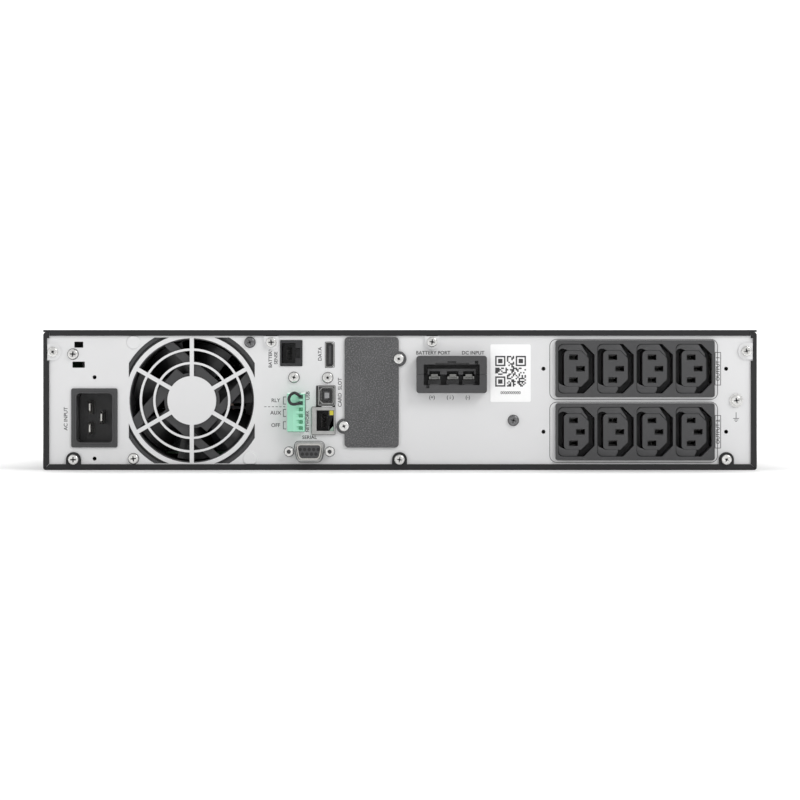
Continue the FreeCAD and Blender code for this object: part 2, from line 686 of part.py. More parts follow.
def make_battery(column, row):
    """One sealed battery on its side, its lid and terminals towards the middle of the tray."""
    x = battery_x[column]
    y = battery_y[row]
    case = box(x, x + battery_width, y, y + battery_length, battery_floor + 0.05, battery_top)
    lid_x = x + battery_width - 9 if column == 0 else x + 9
    groove = box(lid_x - 0.4, lid_x + 0.4, y - 1, y + battery_length + 1, battery_floor - 1, battery_top + 1)
    core = box(lid_x - 1, lid_x + 1, y + 0.5, y + battery_length - 0.5,
               battery_floor + 0.55, battery_top - 0.5)
    return cut(case, [groove.cut(core)])


def make_terminals():
    """Two upright spade terminals on each battery."""
    tabs = []
    for column in range(battery_columns):
        x = battery_x[0] + battery_width if column == 0 else battery_x[1]
        side = 1 if column == 0 else -1
        for y in battery_y:
            for along in (16, battery_length - 16):
                x0, x1 = sorted((x, x + side * 5.2))
                tabs.append(box(x0, x1, y + along - 3.1, y + along + 3.1,
                                battery_top - 14, battery_top - 13.2))
    return group(tabs)


def make_links():
    """Insulated straps that join the batteries into one string."""
    z = battery_top - 24
    x0 = battery_x[0] + battery_width
    straps = []
    for i in range(battery_rows - 1):
        y = battery_y[i]
        straps.append(box(x0 + 0.6, x0 + 4.6, y - 17, y + 17, z, z + 8))
        straps.append(box(x0 + terminal_space - 4.6, x0 + terminal_space - 0.6, y - 17, y + 17, z, z + 8))
    y = battery_y[-1] + 8
    straps.append(box(x0 + 0.6, x0 + terminal_space - 0.6, y, y + 14, z - 14, z - 6))
    return group(straps)


def make_battery_plug():
    """Two-pole blind-mating plug on the rear wall of the tray."""
    body = box(socket_x - 15, socket_x + 15, tray_rear - 9, tray_rear + 11, socket_z - 9, socket_z + 9)
    holes = [rod(socket_x + side * 7, socket_z, 4.6, tray_rear - 10, tray_rear + 4) for side in (-1, 1)]
    return cut(body, holes)


def make_battery_socket():
    """Mating half, snapped in the rear wall of the bay, with two round contacts."""
    flange = box(socket_x - 19, socket_x + 19, bay_rear - 3, bay_rear - 0.05, socket_z - 13, socket_z + 13)
    body = box(socket_x - 15.7, socket_x + 15.7, bay_rear - 14, bay_rear + 3, socket_z - 9.7, socket_z + 9.7)
    pins = [rod(socket_x + side * 7, socket_z, 3.6, bay_rear - 3, tray_rear + 1) for side in (-1, 1)]
    return fuse([flange, body] + pins)


def make_strap():
    """Flat pull strap through two slots of the tray's front plate."""
    x0, x1 = strap_x
    face = box(x0 - 1.2, x1 + 1.2, tray_front + 4.4, tray_front + 6.2, 29, 51)
    ends = [box(x - 0.9, x + 0.9, tray_front - 6, tray_front + 6.2, 29, 51) for x in strap_x]
    stops = [box(x0 - 0.9, x0 + 12, tray_front - 6, tray_front - 4.2, 29, 51),
             box(x1 - 12, x1 + 0.9, tray_front - 6, tray_front - 4.2, 29, 51)]
    return fuse([face] + ends + stops)


def make_thumb_screws():
    """Captive knurled screws that hold the tray."""
    screws = []
    for x in thumb_x:
        z = tray_plate_top - 8
        head = rod(x, z, 4.5, tray_front + 0.4, tray_front + 8)
        flutes = [rod(x + 4.9 * math.cos(a), z + 4.9 * math.sin(a), 0.8, tray_front, tray_front + 9)
                  for a in [2 * math.pi * i / 12 for i in range(12)]]
        screws.append(fuse([cut(head, flutes), rod(x, z, 1.9, tray_front - 6, tray_front + 0.4),
                            rod(x, z, 2.8, tray_front - 6, tray_front - 4)]))
    return group(screws)


# ---- rear fittings -------------------------------------------------------------------------------------
strut_offset = 16.8         # the struts pass the bearing hub at this distance from the fan's axis
strut_width = 5.2
strut_turn = 41.0


def make_fan_frame():
    """Square fan housing with corner lugs, a groove round the duct, four struts and the bearing hub."""
    y0 = panel_back
    y1 = panel_back + fan_depth
    half = fan_size / 2
    body = slab(rounded(fan_x, fan_z, fan_size, fan_size, 4.5), y0, y1)
    waist = cut(slab(rounded(fan_x, fan_z, fan_size + 2, fan_size + 2, 0), y0 + 4, y1 - 4),
                [rod(fan_x, fan_z, half + 0.4, y0, y1)])
    groove = cut(rod(fan_x, fan_z, guard_rim_r + 1.6, y0 - 1, y0 + 2.5),
                 [rod(fan_x, fan_z, guard_rim_r - 0.2, y0 - 1, y0 + 2.5)])
    bore = rod(fan_x, fan_z, rotor_r + 1.0, y0 - 1, y1 + 1)
    frame = cut(body, [waist, groove, bore])
    hub = rod(fan_x, fan_z, 17.0, y0 + 0.4, y0 + 4.0)
    tube = rod(fan_x, fan_z, 4.0, y0 + 0.4, y0 + 17.0)
    reach = math.sqrt((rotor_r + 2.0) ** 2 - strut_offset ** 2)
    parts = [frame, hub, tube]
    for i in range(4):
        wide = strut_width + (1.6 if i == 3 else 0)
        strut = box(-reach, 8.5, y0 + 0.4, y0 + 3.4, strut_offset - wide / 2, strut_offset + wide / 2)
        strut.rotate(V(0, 0, 0), V(0, 1, 0), 90 * i + strut_turn)
        strut.translate(V(fan_x, 0, fan_z))
        parts.append(strut)
    frame = fuse(parts)
    holes = [rod(fan_x + sx * fan_half, fan_z + sz * fan_half, 2.1, y0 - 1, y1 + 1)
             for sx in (-1, 1) for sz in (-1, 1)]
    holes.append(rod(fan_x, fan_z, shaft_r + running_gap, y0 + 1.6, y0 + 18))
    return cut(frame, holes)


blade_count = 7


def blade_section(radius, chord, pitch, thick):
    """Closed slanted section of a blade in the plane at one radius, as a wire."""
    mid = rotor_y0 + (rotor_y1 - rotor_y0) / 2
    dy = math.sin(math.radians(pitch)) * chord / 2
    dz = math.cos(math.radians(pitch)) * chord / 2
    ny = math.cos(math.radians(pitch)) * thick / 2
    nz = -math.sin(math.radians(pitch)) * thick / 2
    points = [V(radius, mid - dy - ny, -dz - nz), V(radius, mid + dy - ny, dz - nz),
              V(radius, mid + dy + ny, dz + nz), V(radius, mid - dy + ny, -dz + nz)]
    return Part.makePolygon(points + points[:1])


rotor_y0 = panel_back + 5.2
rotor_y1 = panel_back + fan_depth - 1.5


def make_fan_rotor():
    """Cup-shaped hub with seven twisted blades on a thin shaft."""
    hub = rod(0, 0, hub_r + 1.2, rotor_y0, rotor_y1)
    cup = rod(0, 0, hub_r - 0.4, rotor_y0 - 1, rotor_y1 - 2.0)
    shaft = rod(0, 0, shaft_r, panel_back + 2.2, rotor_y1 - 1)
    limit = rod(0, 0, rotor_r, rotor_y0, rotor_y1)
    blades = []
    for i in range(blade_count):
        blade = Part.makeLoft([blade_section(hub_r + 0.4, 19.0, 42, 1.4),
                               blade_section(rotor_r + 1.5, 30.0, 30, 1.0)], True, True)
        blade.rotate(V(0, 0, 0), V(0, 1, 0), 360 / blade_count * i)
        blades.append(blade.common(limit))
    rotor = fuse([cut(hub, [cup]), shaft] + blades)
    rotor.translate(V(fan_x, 0, fan_z))
    return rotor


def make_inlet():
    """Mains inlet: flanged housing with a deep rounded cavity."""
    y0 = panel_face - inlet_stand
    floor = panel_face + inlet_recess
    flange = slab(rounded(inlet_x, inlet_z, inlet_width, inlet_height, 1.2), y0, panel_face)
    body = slab(rounded(inlet_x, inlet_z, inlet_width - 3, inlet_height - 3, 2.8), panel_face, floor + 3)
    cavity = slab(rounded(inlet_x, inlet_z, inlet_cavity_width, inlet_cavity_height, 2.4), y0 - 1, floor)
    rim = outline_ring(inlet_x, inlet_z, inlet_cavity_width + 1.6, inlet_cavity_height + 1.6, 3.0,
                       y0 - 0.6, y0, 0.8)
    holes = [box(x - 1.1, x + 1.1, floor - 1, floor + 4, z - 4.1, z + 4.1) for x, z in inlet_pins]
    return cut(fuse([cut(fuse([flange, body]), [cavity]), rim]), holes)


def outline_ring(x, z, width, height, radius, y0, y1, wall):
    """Low raised rim round an opening."""
    outer = slab(rounded(x, z, width, height, radius), y0, y1)
    inner = slab(rounded(x, z, width - 2 * wall, height - 2 * wall, radius - wall), y0 - 1, y1 + 1)
    return cut(outer, [inner])


inlet_pins = [(inlet_x - 3.4, inlet_z + 6.6), (inlet_x - 3.4, inlet_z - 6.6), (inlet_x + 4.0, inlet_z + 0.3)]
pin_taper = 2.4


def rectangle_wire(x, y, z, width, height):
    """Closed upright rectangle round a point of the plane at y."""
    corners = [V(x + sx * width / 2, y, z + sz * height / 2)
               for sx, sz in ((-1, -1), (1, -1), (1, 1), (-1, 1))]
    return Part.makePolygon(corners + corners[:1])


def make_inlet_pins():
    """Three flat pins whose ends taper all round to a small tip, and their solder tails."""
    floor = panel_face + inlet_recess
    pins = []
    for i, (x, z) in enumerate(inlet_pins):
        tip = panel_face + (1.0 if i == 2 else 3.0)
        blade = box(x - 1, x + 1, tip + pin_taper, floor + 8, z - 4, z + 4)
        point = Part.makeLoft([rectangle_wire(x, tip, z, 0.9, 4.3),
                               rectangle_wire(x, tip + pin_taper, z, 2.0, 8.0)], True, True)
        pins.append(fuse([blade, point]))
    return group(pins)


core_drop = 0.4             # outlet cores end this far inside the block's face
contact_width = 5.4
contact_height = 3.4
contact_shift = 1.7
earth_shift = 2.6
live_spread = 7.0
contact_drop = 7.5          # spring contacts start this far inside the core


def socket_places():
    """Middle of each outlet along X."""
    return [outlet_x + (i - (outlets_per_block - 1) / 2) * outlet_pitch for i in range(outlets_per_block)]


def contact_places(x, z):
    return [(x - contact_shift, z + live_spread), (x - contact_shift, z - live_spread), (x + earth_shift, z)]


def make_outlet_block(z):
    """Moulded block of four outlets: a recess round each core and three contact slots in the core."""
    y0 = panel_face - outlet_stand
    floor = y0 + outlet_recess
    flange = slab(rounded(outlet_x, z, outlet_block_width, outlet_block_height, 1.6), y0, panel_face)
    body = slab(rounded(outlet_x, z, outlet_block_width - 3.6, outlet_block_height - 3.6, 0.8),
                panel_face, floor + 10)
    recesses = []
    cores = []
    slots = []
    for x in socket_places():
        recesses.append(slab(rounded(x, z, outlet_cavity_width, outlet_cavity_height, (3.0, -6.6, -6.6, 3.0)),
                             y0 - 1, floor))
        cores.append(slab(rounded(x, z, outlet_core_width, outlet_core_height, (2.5, -4.6, -4.6, 2.5)),
                          y0 + core_drop, floor))
        for cx, cz in contact_places(x, z):
            slots.append(box(cx - contact_width / 2, cx + contact_width / 2, y0 - 1, floor + 11,
                             cz - contact_height / 2, cz + contact_height / 2))
    return cut(fuse([cut(fuse([flange, body]), recesses)] + cores), slots)


def make_outlet_contacts(z):
    """Spring contacts in the cores, with tails out of the back."""
    y0 = panel_face - outlet_stand
    springs = []
    for x in socket_places():
        for cx, cz in contact_places(x, z):
            leaf = [box(cx - 2.2, cx + 2.2, y0 + contact_drop, y0 + outlet_recess + 16,
                        cz + side * 1.25 - 0.25, cz + side * 1.25 + 0.25) for side in (-1, 1)]
            back = box(cx - 2.2, cx + 2.2, y0 + outlet_recess + 6, y0 + outlet_recess + 6.9,
                       cz - 1.3, cz + 1.3)
            springs.append(fuse(leaf + [back]))
    return springs


def make_jack():
    """Modular jack for the battery cabinet's lead: a block with an off-centre cavity and a latch notch."""
    y0 = panel_face - sense_stand
    body = box(sense_x - sense_width / 2, sense_x + sense_width / 2, y0, y0 + 18,
               sense_z - sense_height / 2, sense_z + sense_height / 2)
    middle = sense_x - 1.6
    cavity = box(middle - 4.2, middle + 4.2, y0 - 1, y0 + 12, sense_z - 6.1, sense_z + 6.1)
    notch = box(middle, sense_x + sense_width / 2 - 1.2, y0 - 1, y0 + 9.6,
                sense_z - latch_half, sense_z + latch_half)
    return cut(body, [cavity, notch])


latch_half = 3.1
network_wall = 0.5
network_border = (2.8, 0.6, 2.2, 1.9)       # metal round the mouth: left, right, below, above
network_lip = 0.3


def make_network_parts():
    """Metal shell with a wide front border, plastic insert with the cavity, and two light windows."""
    y0 = panel_face - 1.6
    x0, x1 = network_x - network_width / 2, network_x + network_width / 2
    z0, z1 = network_z - network_height / 2, network_z + network_height / 2
    border = network_border
    shell = box(x0, x1, y0, y0 + 20, z0, z1)
    hollow = box(x0 + network_wall, x1 - network_wall, y0 + network_lip, y0 + 21,
                 z0 + network_wall, z1 - network_wall)
    mouth = box(x0 + border[0], x1 - border[1], y0 - 1, y0 + 1, z0 + border[2], z1 - border[3])
    shell = cut(shell, [hollow, mouth])
    inner = network_wall + 0.05
    insert = box(x0 + inner, x1 - inner, y0 + network_lip + 0.05, y0 + 20, z0 + inner, z1 - inner)
    cavity = box(x0 + 3.0, x0 + 10.2, y0 - 1, y0 + 14, network_z - 6.2, network_z + 6.2)
    latch = box(x0 + 10, x1 - 1.0, y0 - 1, y0 + 12, network_z - latch_half, network_z + latch_half)
    windows = [(z0 + border[2] + 0.1, z0 + border[2] + 3.0), (z1 - border[3] - 3.0, z1 - border[3] - 0.1)]
    light_holes = [box(x1 - 3.3, x1 - inner - 0.3, y0 - 1, y0 + 8, low, high) for low, high in windows]
    insert = cut(insert, [cavity, latch] + light_holes)
    lights = group([box(x1 - 3.25, x1 - inner - 0.35, y0 + network_lip + 0.1, y0 + 7.5,
                        low + 0.05, high - 0.05) for low, high in windows])
    return shell, insert, lights


def make_usb_parts():
    """Square shell with a lined mouth that has two corners cut off, and the moulding with the tongue."""
    y0 = panel_face - 2.2
    wall = 0.35
    inside = rounded(usb_x, usb_z, usb_width - 2 * wall, usb_height - 2 * wall, 0.2)
    liner = usb_shape(usb_x, usb_z, usb_mouth_width + 2 * wall, usb_mouth_height + 2 * wall)
    mouth = usb_shape(usb_x, usb_z, usb_mouth_width, usb_mouth_height)
    outer = cut(slab(rounded(usb_x, usb_z, usb_width, usb_height, 0.5), y0, y0 + 16),
                [slab(inside, y0 - 1, y0 + 15)])
    lining = cut(slab(liner, y0 + 0.2, y0 + 15.5), [slab(mouth, y0 - 1, y0 + 15)])
    moulding = cut(slab(inside, y0 + 0.5, y0 + 14.9), [slab(liner, y0 - 1, y0 + 15)])
    tongue = fuse([box(usb_x - 1.5, usb_x + 0.9, y0 + 1.4, y0 + 15, usb_z - 2.5, usb_z + 2.7),
                   box(usb_x + 0.8, usb_x + 2.0, y0 + 2.4, y0 + 15, usb_z - 1.5, usb_z + 1.6)])
    return fuse([outer, lining]), [moulding, tongue]


def make_data_parts():
    """High-density data port: thin shell and its tongue."""
    y0 = panel_face - 0.6
    outer = slab(data_shape(data_x, data_z, data_width, data_height), y0, y0 + 12)
    inner = slab(data_shape(data_x, data_z, data_width - 0.8, data_height - 0.8), y0 - 1, y0 + 11)
    tongue = box(data_x - 0.6, data_x + 0.7, y0 + 0.8, y0 + 11, data_z - 5.6, data_z + 5.6)
    return cut(outer, [inner]), tongue


def serial_pins():
    """The five and four contact places of the serial connector."""
    pitch = 2.77
    upper = [(serial_x + (i - 2) * pitch, serial_z + 1.42) for i in range(5)]
    lower = [(serial_x + (i - 1.5) * pitch, serial_z - 1.42) for i in range(4)]
    return upper + lower


def make_serial_parts():
    """Shell with its flange behind the panel, and the insert with nine contact holes."""
    y0 = panel_face - 5.6
    wall = 0.7
    outer = slab(db_shape(serial_x, serial_z, serial_width, serial_height), y0, panel_back + 0.1)
    flange = box(serial_x - 15.3, serial_x + 15.3, panel_back + 0.05, panel_back + 1.0, serial_z - 6.2,
                 serial_z + 6.2)
    hollow = slab(db_shape(serial_x, serial_z, serial_width - 2 * wall, serial_height - 2 * wall), y0 - 1,
                  panel_back + 2)
    jack_holes = [rod(serial_x + side * jack_screw_pitch / 2, serial_z, 1.7, panel_back - 1, panel_back + 2)
                  for side in (-1, 1)]
    shell = cut(fuse([outer, flange]), [hollow] + jack_holes)
    insert = slab(db_shape(serial_x, serial_z, serial_width - 2 * wall - 0.2, serial_height - 2 * wall - 0.2),
                  y0 + 0.5, panel_back + 9)
    return shell, cut(insert, [rod(x, z, 0.65, y0 - 1, y0 + 7) for x, z in serial_pins()])


def make_jack_screws():
    """Hexagonal standoffs each side of the serial connector, threaded inside."""
    screws = []
    for side in (-1, 1):
        x = serial_x + side * jack_screw_pitch / 2
        angles = [math.radians(60 * i + 30) for i in range(6)]
        points = [(x + 2.9 * math.cos(a), serial_z + 2.9 * math.sin(a)) for a in angles]
        hexagon = slab(outline(points, (0,) * 6), panel_face - 5.0, panel_face)
        shank = rod(x, serial_z, screw_shank_r, panel_face, panel_back + 6)
        screws.append(cut(fuse([hexagon, shank]), [rod(x, serial_z, 1.2, panel_face - 6, panel_face)]))
    return group(screws)


plug_back = panel_face - 0.4
relay_x0 = relay_x - relay_width / 2
relay_z_places = [relay_z + (i - (pole_count - 1) / 2) * pole_pitch for i in range(pole_count)]


def make_relay_header():
    """Fixed header behind the panel with six pins standing out into the plug."""
    body = box(relay_x0, relay_x0 + relay_width, plug_back + 0.05, panel_face + 12,
               relay_z - relay_height / 2, relay_z + relay_height / 2)
    pins = [box(relay_x - 0.5, relay_x + 0.5, plug_back - plug_travel + 1.2, plug_back + 1,
                z - 0.5, z + 0.5) for z in relay_z_places]
    return fuse([body] + pins)


wire_column_x = relay_x + 3.15
clamp_y = panel_face - plug_stand + 4.4


def make_relay_plug():
    """Pull-off plug: a ramped wire entry in the face and a clamp screw well in the side for each pole."""
    y0 = panel_face - plug_stand
    body = box(relay_x0, relay_x0 + relay_width, y0, plug_back, relay_z - relay_height / 2,
               relay_z + relay_height / 2)
    bevel = prism_z([(relay_x0 - 1, y0 - 1), (relay_x0 + 3.7, y0 - 1), (relay_x0 + 3.7, y0),
                     (relay_x0, y0 + 1.5), (relay_x0 - 1, y0 + 1.5)],
                    relay_z - relay_height, relay_z + relay_height)
    holes = [bevel]
    for z in relay_z_places:
        holes.append(box(relay_x - 0.85, relay_x + 0.85, plug_back - plug_travel + 0.6, plug_back + 1,
                         z - 0.85, z + 0.85))
        holes.append(box(wire_column_x - 1.15, wire_column_x + 1.15, y0 - 1, y0 + 2.9, z - 1.15, z + 1.15))
        ramp = [(wire_column_x - 3.2, y0 - 1), (wire_column_x, y0 - 1), (wire_column_x, y0 + 1.7),
                (wire_column_x - 1.1, y0 + 1.7), (wire_column_x - 3.2, y0)]
        holes.append(prism_z(ramp, z - 0.95, z + 1.15))
        holes.append(Part.makeCylinder(1.35, 2.3, V(relay_x0 - 1, clamp_y, z), V(1, 0, 0)))
    return cut(body, holes)


def prism_z(points, z0, z1):
    """Upright prism on a polygon of the XY plane."""
    corners = [V(x, y, z0) for x, y in points]
    return Part.Face(Part.makePolygon(corners + corners[:1])).extrude(V(0, 0, z1 - z0))


def make_clamp_screws():
    """Slotted clamp screws in their wells in the plug's side."""
    screws = []
    for z in relay_z_places:
        head = Part.makeCylinder(1.25, 0.8, V(relay_x0 + 0.5, clamp_y, z), V(1, 0, 0))
        slit = box(relay_x0, relay_x0 + 0.9, clamp_y - 1.4, clamp_y + 1.4, z - 0.2, z + 0.2)
        screws.append(cut(head, [slit]))
    return group(screws)


def bent_wire(points, wire_r):
    """Round wire through points; each bend is an arc as large as its two runs allow."""
    vectors = [V(*p) for p in points]
    edges = []
    radii = []
    start = vectors[0]
    for i in range(1, len(vectors) - 1):
        here = vectors[i]
        back = vectors[i - 1] - here
        ahead = vectors[i + 1] - here
        trim = 0.45 * min(back.Length, ahead.Length)
        back.normalize()
        ahead.normalize()
        half = back.getAngle(ahead) / 2
        radii.append(trim * math.tan(half))
        middle = here + (back + ahead).normalize() * (radii[-1] / math.sin(half) - radii[-1])
        edges.append(Part.LineSegment(start, here + back * trim).toShape())
        edges.append(Part.Arc(here + back * trim, middle, here + ahead * trim).toShape())
        start = here + ahead * trim
    edges.append(Part.LineSegment(start, vectors[-1]).toShape())
    path = Part.Wire(edges)
    ring = Part.Wire([Part.makeCircle(wire_r, vectors[0], vectors[1] - vectors[0])])
    tube = path.makePipeShell([ring], True, False)
    ratio = tube.Volume / (math.pi * wire_r ** 2 * path.Length)
    print(f"wire length {path.Length:.1f}  radii {[round(r, 2) for r in radii]}  volume ratio {ratio:.4f}")
    return tube


def make_jumper():
    """Loop of insulated wire between the two upper entries of the plug."""
    y0 = panel_face - plug_stand
    out = y0 - jumper_reach
    z0, z1 = relay_z_places[-2], relay_z_places[-1]
    x = wire_column_x
    points = [(x, y0 + 2.8, z1), (x, out + 0.6, z1), (x - 3.9, out, z1 + 3.2), (x - 7.7, out - 0.2, z1 - 0.4),
              (x - 6.0, out, z0 - 1.2), (x, out + 0.4, z0), (x, y0 + 2.8, z0)]
    return bent_wire(points, jumper_r)


slot_cover_face = rear_face - 0.2
washer_thick = 0.7


def make_slot_cover():
    """Cover plate of the management slot with two screw ears."""
    y0 = slot_cover_face
    plate = slab(rounded(slot_x, slot_z, slot_width, slot_height, 2.5), y0, panel_face)
    ears = [rod(x, z, 4.7, y0, panel_face) for x, z in slot_screws]
    holes = [rod(x, z, screw_shank_r + 0.1, y0 - 1, panel_face + 1) for x, z in slot_screws]
    return cut(fuse([plate] + ears), holes)


def make_card_cage():
    """Sheet sleeve behind the slot with a guide rail on each side for the card."""
    width = slot_width - 4.0
    height = slot_height - 4.0
    outer = box(slot_x - width / 2, slot_x + width / 2, panel_back + 0.05, panel_back + cage_depth,
                slot_z - height / 2, slot_z + height / 2)
    inner = box(slot_x - width / 2 + 1, slot_x + width / 2 - 1, panel_back - 1, panel_back + cage_depth - 1,
                slot_z - height / 2 + 1, slot_z + height / 2 - 1)
    rails = [box(slot_x + 6, slot_x + 9.6, panel_back + 4, panel_back + cage_depth - 1, z, z + 2.2)
             for z in (slot_z - height / 2 + 1 - 0.1, slot_z + height / 2 - 1 - 2.1)]
    grooves = [box(slot_x + 7, slot_x + 8.8, panel_back + 3, panel_back + cage_depth, z, z + 1.4)
               for z in (slot_z - height / 2 + 1.9, slot_z + height / 2 - 1 - 2.3)]
    return cut(fuse([cut(outer, [inner])] + rails), grooves)


port_split = battery_port_z + 0.1
port_face = panel_face - battery_port_stand
port_opening_width = 34.2
port_opening_height = 12.6
port_opening_z = battery_port_z - 0.2
port_contact_x = (battery_port_x - 10.45, battery_port_x + 0.8, battery_port_x + 10.6)
comb_face = port_face + 6.0
comb_bottom = battery_port_z - 0.2
comb_top = battery_port_z + 3.6


def port_box(x0, x1, depth, z0, z1):
    """Box from in front of the port's face to a depth, placed from the port's middle."""
    return box(battery_port_x + x0, battery_port_x + x1, port_face - 1, port_face + depth,
               battery_port_z + z0, battery_port_z + z1)


def make_battery_port():
    """Lower and upper halves of the external battery port, which close round the contacts."""
    back = panel_back + 20.0
    floor = panel_face + 8
    outer = fuse([slab(rounded(battery_port_x, battery_port_z, battery_port_width, battery_port_height, 1.8),
                       port_face, panel_face),
                  slab(rounded(battery_port_x, battery_port_z, battery_port_width - 3.6,
                               battery_port_height - 3.6, 1.2), panel_face, back)])
    half_width = port_opening_width / 2
    half_height = port_opening_height / 2
    opening = box(battery_port_x - half_width, battery_port_x + half_width, port_face - 1, floor,
                  port_opening_z - half_height, port_opening_z + half_height)
    steps = [port_box(-10.0, 10.5, 6, 5, 7.0), port_box(-2.5, 2.7, 6, 6, 8.1),
             port_box(-15.7, -13.7, 6, -8.4, -6), port_box(14.2, 16.2, 6, 6, 8.3)]
    spacers = ((-14.7, -13.6), (-7.0, -2.8), (4.2, 7.1), (13.9, 15.0))
    root = floor + 0.5
    comb = [box(battery_port_x - 14.7, battery_port_x + 15.0, comb_face, root, comb_top - 1.5, comb_top)]
    for x0, x1 in spacers:
        comb.append(box(battery_port_x + x0, battery_port_x + x1, comb_face, root, comb_bottom, comb_top))
    sole = battery_port_z - 7
    for x in port_contact_x:
        comb.append(box(x - 3.9, x + 3.9, comb_face + 3, root, sole, battery_port_z - 3.2))
        comb.append(box(x - 2.6, x + 2.6, port_face + 1.2, root, sole, battery_port_z - 5.8))
    slits = [box(x - 3.45, x + 3.45, floor - 1, back + 1, battery_port_z - 3.0, battery_port_z + 0.5)
             for x in port_contact_x]
    whole = cut(fuse([cut(outer, [opening] + steps)] + comb), slits)
    seam = 0.08
    below = box(-500, 500, -500, 500, -10, port_split - seam)
    above = box(-500, 500, -500, 500, port_split + seam, 200)
    lower = whole.common(below)
    upper = whole.common(above)
    return biggest(lower), biggest(upper)


def biggest(shape):
    """The largest solid of a shape, without the crumbs of a split."""
    return max(shape.Solids, key=lambda s: s.Volume)


def make_port_contacts():
    """Three wide contacts, each a channel with a raised spring tip, with tails out of the back."""
    contacts = []
    for x in port_contact_x:
        z = battery_port_z
        blade = box(x - 3.35, x + 3.35, port_face + 5, panel_back + 27, z - 2.9, z - 1.1)
        channel = box(x - 2.6, x + 2.6, port_face + 4, port_face + 8, z - 3, z - 1.7)
        tip = box(x - 2.1, x + 2.1, port_face + 6.2, port_face + 14, z - 1.2, z + 0.3)
        contacts.append(cut(fuse([blade, tip]), [channel]))
    return group(contacts)


def make_rear_screws():
    """All pan screws of the rear: tray tabs, sides, cover pads, brackets, fan, slot, bonding and earth."""
    places = [(x, rear_face, z) for x, z in tab_screws + side_screws + top_screws]
    places += [(x, panel_face, z) for x, z in bracket_screws + fan_screws + [lug_screw, dark_screw]]
    places += [(x, slot_cover_face, z) for x, z in slot_screws]
    places.append((earth_x, panel_face - washer_thick, earth_z))
    return group([turned(panel_screw, (0, 1, 0), 17 * i, p) for i, p in enumerate(places)])


def make_cover_screws():
    """Countersunk screws of the top cover."""
    screw = flat_screw(flat_head_r, screw_shank_r, 6.0)
    return group([turned(screw, (1, 0, 0), -90, (x, y, case_height)) for x, y in cover_screw_places])


def make_frame_screws():
    """Screws that hold the front frame to the ears of the tray."""
    screw = pan_screw(2.8, 1.6, 1.4, 6.0)
    return group([turned(screw, (0, 0, 1), 180, (x, front_face, z)) for x, z in frame_screw_places])


def make_earth_washer():
    """Toothed washer under the earth screw."""
    washer = cut(rod(earth_x, earth_z, 4.3, panel_face - washer_thick, panel_face),
                 [rod(earth_x, earth_z, screw_shank_r + 0.1, panel_face - 1, panel_face + 1)])
    teeth = [rod(earth_x + 4.5 * math.cos(a), earth_z + 4.5 * math.sin(a), 0.45,
                 panel_face - 1, panel_face + 1)
             for a in [2 * math.pi * i / 14 for i in range(14)]]
    return cut(washer, teeth)


# ---- inside --------------------------------------------------------------------------------------------
board_z = 9.0
board_thick = 1.6
board_x0 = left + 8.0
board_x1 = bay_left - 14.0
board_y0 = panel_back + fan_depth + 20.0
board_y1 = front_face - 26.0
standoff_places = [(x, y) for x in (board_x0 + 6, board_x1 - 6)
                   for y in (board_y0 + 8, (board_y0 + board_y1) / 2, board_y1 - 8)]
stack = board_z + board_thick + 0.05
sink_length = 180.0
sink_width = 34.0
sink_height = 46.0
fin_count = 8


def make_power_board():
    """Main power board with its row of transistors and ceramic blocks."""
    board = box(board_x0, board_x1, board_y0, board_y1, board_z, board_z + board_thick)
    parts = [board]
    for i in range(6):
        y = sink_y0 + 14 + i * 28
        parts.append(box(sink_x[0] + sink_width + 0.3, sink_x[0] + sink_width + 5.0, y, y + 15, board_z, 34))
    holes = [post(x, y, 1.6, board_z - 1, board_z + 5) for x, y in standoff_places]
    return cut(fuse(parts), holes)


sink_x = (left + 30.0, left + 84.0)
sink_y0 = board_y0 + 130.0


def make_heat_sink(x):
    """Extruded heat sink: a thick web with fins to one side, along the air flow."""
    z0 = stack + 1.0
    web = box(x + sink_width - 5, x + sink_width, sink_y0, sink_y0 + sink_length, z0, z0 + sink_height)
    step = (sink_height - 2.0) / (fin_count - 1)
    fins = [box(x, x + sink_width - 4, sink_y0, sink_y0 + sink_length, z0 + i * step, z0 + i * step + 2.0)
            for i in range(fin_count)]
    return fuse([web] + fins)


def make_capacitors():
    """Bulk electrolytic capacitors, standing, with a crimp groove and a vent cross on top."""
    cans = []
    for i in range(5):
        y = sink_y0 + 20 + i * 35
        x = board_x1 - 21
        can = post(x, y, 15.0, stack, stack + 46)
        groove = Part.makeTorus(15.4, 0.9, V(x, y, stack + 5), V(0, 0, 1))
        vent = [box(x - 8, x + 8, y - 0.3, y + 0.3, stack + 45.6, stack + 47),
                box(x - 0.3, x + 0.3, y - 8, y + 8, stack + 45.6, stack + 47)]
        cans.append(cut(can, [groove] + vent))
    return group(cans)


def make_inductors():
    """Three toroid chokes on edge in a row near the fan."""
    return [Part.makeTorus(17.0, 9.0, V(left + 36 + i * 48, board_y0 + 80, stack + 10.0), V(0, 0, 1))
            for i in range(3)]


def make_transformer():
    """Ferrite transformer of the battery converter: core halves round a wound bobbin."""
    x, y = left + 60.0, sink_y0 + sink_length + 50
    core = box(x - 28, x + 28, y - 20, y + 20, stack, stack + 44)
    holes = [box(x - 20, x - 8, y - 21, y + 21, stack + 8, stack + 36),
             box(x + 8, x + 20, y - 21, y + 21, stack + 8, stack + 36)]
    bobbin = post(x, y, 22.0, stack + 8.5, stack + 35.5)
    return fuse([cut(core, holes), bobbin])


def make_relays():
    """Sealed transfer relays in a row."""
    return group([box(left + 30 + i * 34, left + 56 + i * 34, board_y0 + 12, board_y0 + 32, stack, stack + 22)
                  for i in range(3)])


filter_y0 = panel_back + 30.0


